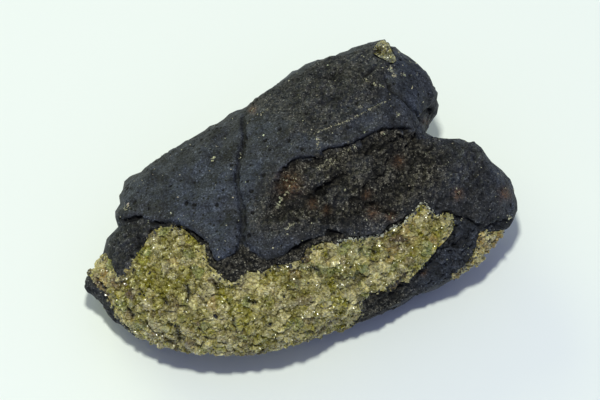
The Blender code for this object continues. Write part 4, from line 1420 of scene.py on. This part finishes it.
def olivine_material(name, roughness, glow):
    """Glassy grains, each in its own tint, cloudy inside and with a little light passing through."""
    material, tree, shader = new_material(name, roughness, OLIVINE_IOR)
    shader.inputs["Subsurface Weight"].default_value = glow
    shader.inputs["Subsurface Radius"].default_value = GLOW_COLOUR
    shader.inputs["Subsurface Scale"].default_value = GLOW_DEPTH * MM
    cloud = stretched(tree, noise_at(tree, 0.7, 3), 0.32, 0.68)
    veil = mixed(tree, cloud, (0.65, 0.65, 0.55), (1.35, 1.35, 1.35))
    colour = mixed(tree, 1.0, stored(tree, "tint", "Color"), veil, "MULTIPLY")
    tree.links.new(colour, shader.inputs["Base Color"])
    gloss = stretched(tree, noise_at(tree, 0.8, 2), 0.35, 0.65, roughness * 0.6, roughness * 1.7)
    tree.links.new(gloss, shader.inputs["Roughness"])
    facet_slope = 1 / MM  # the tilted cells give their heights in metres already
    large = (tilted_cells(tree, LARGE_FACET), 1.0, 0.7 * facet_slope)
    small = (tilted_cells(tree, SMALL_FACET), 1.0, 0.9 * facet_slope)
    bumped(tree, shader, [large, small, (noise_at(tree, 0.3, 2), 0.2, 0.06)])
    return material


def plain_grain_material(name, roughness):
    material, tree, shader = new_material(name, roughness, GRAIN_IOR)
    cloud = stretched(tree, noise_at(tree, 0.4, 2), 0.3, 0.7)
    veil = mixed(tree, cloud, (0.5, 0.5, 0.5), (1.5, 1.5, 1.5))
    colour = mixed(tree, 1.0, stored(tree, "tint", "Color"), veil, "MULTIPLY")
    tree.links.new(colour, shader.inputs["Base Color"])
    bumped(tree, shader, [(noise_at(tree, 0.25, 2), 0.4, 0.10)])
    return material


basalt = basalt_material()
dunite = olivine_material("dunite", 0.16, 0.45)
olivine = olivine_material("olivine_grains", 0.14, 0.45)
crumb_finish = plain_grain_material("pale_crumbs", 0.5)
bit_finish = plain_grain_material("basalt_bits", 0.65)
ore_finish = plain_grain_material("chromite", 0.25)
print("materials:", sorted(material.name for material in bpy.data.materials if material.use_nodes))

# %% [markdown]
# ## Hand the pieces to the frame
#
# Each piece rides on the one body and takes its material, and a piece that stands for a solid hides it.

# %% Ride and replace
PIECES = [
    (crust, basalt, "basalt", "basalt_crust"),
    (bits, bit_finish, "basalt", None),
    (crumbs, crumb_finish, "dunite", None),
    (rim, olivine, "dunite", None),
    (fringe, crumb_finish, "dunite", None),
    (nodule, dunite, "dunite", "dunite_nodule"),
    (nodule_grains, olivine, "dunite", None),
    (chromite_grains, ore_finish, "dunite", None),
    (chip, dunite, "dunite", "dunite_chip"),
    (chip_grains, olivine, "dunite", None),
]
for piece, finish, slot, node in PIECES:
    piece.data.materials.append(finish)
    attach(piece, "root")
    if node:
        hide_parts(node)
    print(piece.name, triangles(piece), "triangles")

# %% [markdown]
# ## Floor, light and camera
#
# The stone lies on a plain sheet of pale matt paper. A plane far wider than the view is enough, as
# only its colour and the shadow on it are ever seen.

# %% Floor
FLOOR_COLOUR, FLOOR_WIDTH = (0.82, 0.86, 0.84), 6.0
FLOOR_ROUGHNESS, FLOOR_IOR = 0.9, 1.3
bpy.ops.object.select_all(action="DESELECT")
bpy.ops.mesh.primitive_plane_add(size=FLOOR_WIDTH, location=(0, 0, 0))
floor = bpy.context.active_object
floor.name = "floor"
paper, _, paper_shader = new_material("pale_floor", FLOOR_ROUGHNESS, FLOOR_IOR)
paper_shader.inputs["Base Color"].default_value = (*FLOOR_COLOUR, 1.0)
floor.data.materials.append(paper)
print("floor:", FLOOR_WIDTH, "metres wide")

# %% [markdown]
# The light is soft. A small lamp almost straight above gives the short shadow, a wide yellowish one low
# behind the stone lifts the shadow's edges, and a bluish sky fills what neither lamp reaches. Round
# lamps at set angles are easy to move, and a lamp is soft when it is wide for its distance.

# %% Lights
# Name, elevation and azimuth in degrees, distance and width in metres, power and colour.
LAMPS = [
    ("lamp_above", 77.5, -95, 1.40, 0.11, 14.0, (0.976, 1.0, 0.88)),
    ("lamp_behind", 28, 130, 1.40, 1.00, 7.0, (0.94, 1.0, 0.35)),
]
SKY_COLOUR, SKY_STRENGTH = (0.556, 0.628, 1.0), 0.431


def soft_lamp(name, elevation, azimuth, distance, size, power, colour):
    """A round lamp at this distance and these angles in degrees, turned to the stone."""
    data = bpy.data.lights.new(name, "AREA")
    data.shape, data.size, data.energy, data.color = "DISK", size, power, colour
    rise, turn = math.radians(elevation), math.radians(azimuth)
    way = Vector((math.cos(rise) * math.cos(turn), math.cos(rise) * math.sin(turn), math.sin(rise)))
    place = way * distance
    lamp = bpy.data.objects.new(name, data)
    lamp.location = place
    lamp.rotation_euler = place.to_track_quat("Z", "Y").to_euler()
    bpy.context.scene.collection.objects.link(lamp)


for lamp in LAMPS:
    soft_lamp(*lamp)
world = bpy.data.worlds.new("soft_sky")
world.use_nodes = True
sky = world.node_tree.nodes["Background"]
sky.inputs["Color"].default_value = (*SKY_COLOUR, 1.0)
sky.inputs["Strength"].default_value = SKY_STRENGTH
bpy.context.scene.world = world
print("lamps:", [lamp[0] for lamp in LAMPS])

# %% [markdown]
# The camera looks down at 60 degrees through a long lens, from far off. Near and far parts of the
# stone then keep their sizes, and the picture agrees with the view in which everything was placed.

# %% Camera
DISTANCE, WIDE = 2.0, 0.150  # metres, to the stone's middle and across the picture there
RISE = 0.018  # metres from the aim to the stone's middle, towards the eye
SENSOR = 36.0  # millimetres
camera_data = bpy.data.cameras.new("camera")
camera_data.sensor_width = SENSOR
camera_data.lens = SENSOR * DISTANCE / WIDE
camera = bpy.data.objects.new("camera", camera_data)
towards_eye = Vector(TO_VIEW[2])
camera.location = Vector(AIM * MM) + towards_eye * (DISTANCE + RISE)
camera.rotation_euler = towards_eye.to_track_quat("Z", "Y").to_euler()
bpy.context.scene.collection.objects.link(camera)
bpy.context.scene.camera = camera
bpy.context.scene.view_settings.view_transform = "Standard"
print("lens:", round(camera_data.lens), "mm")
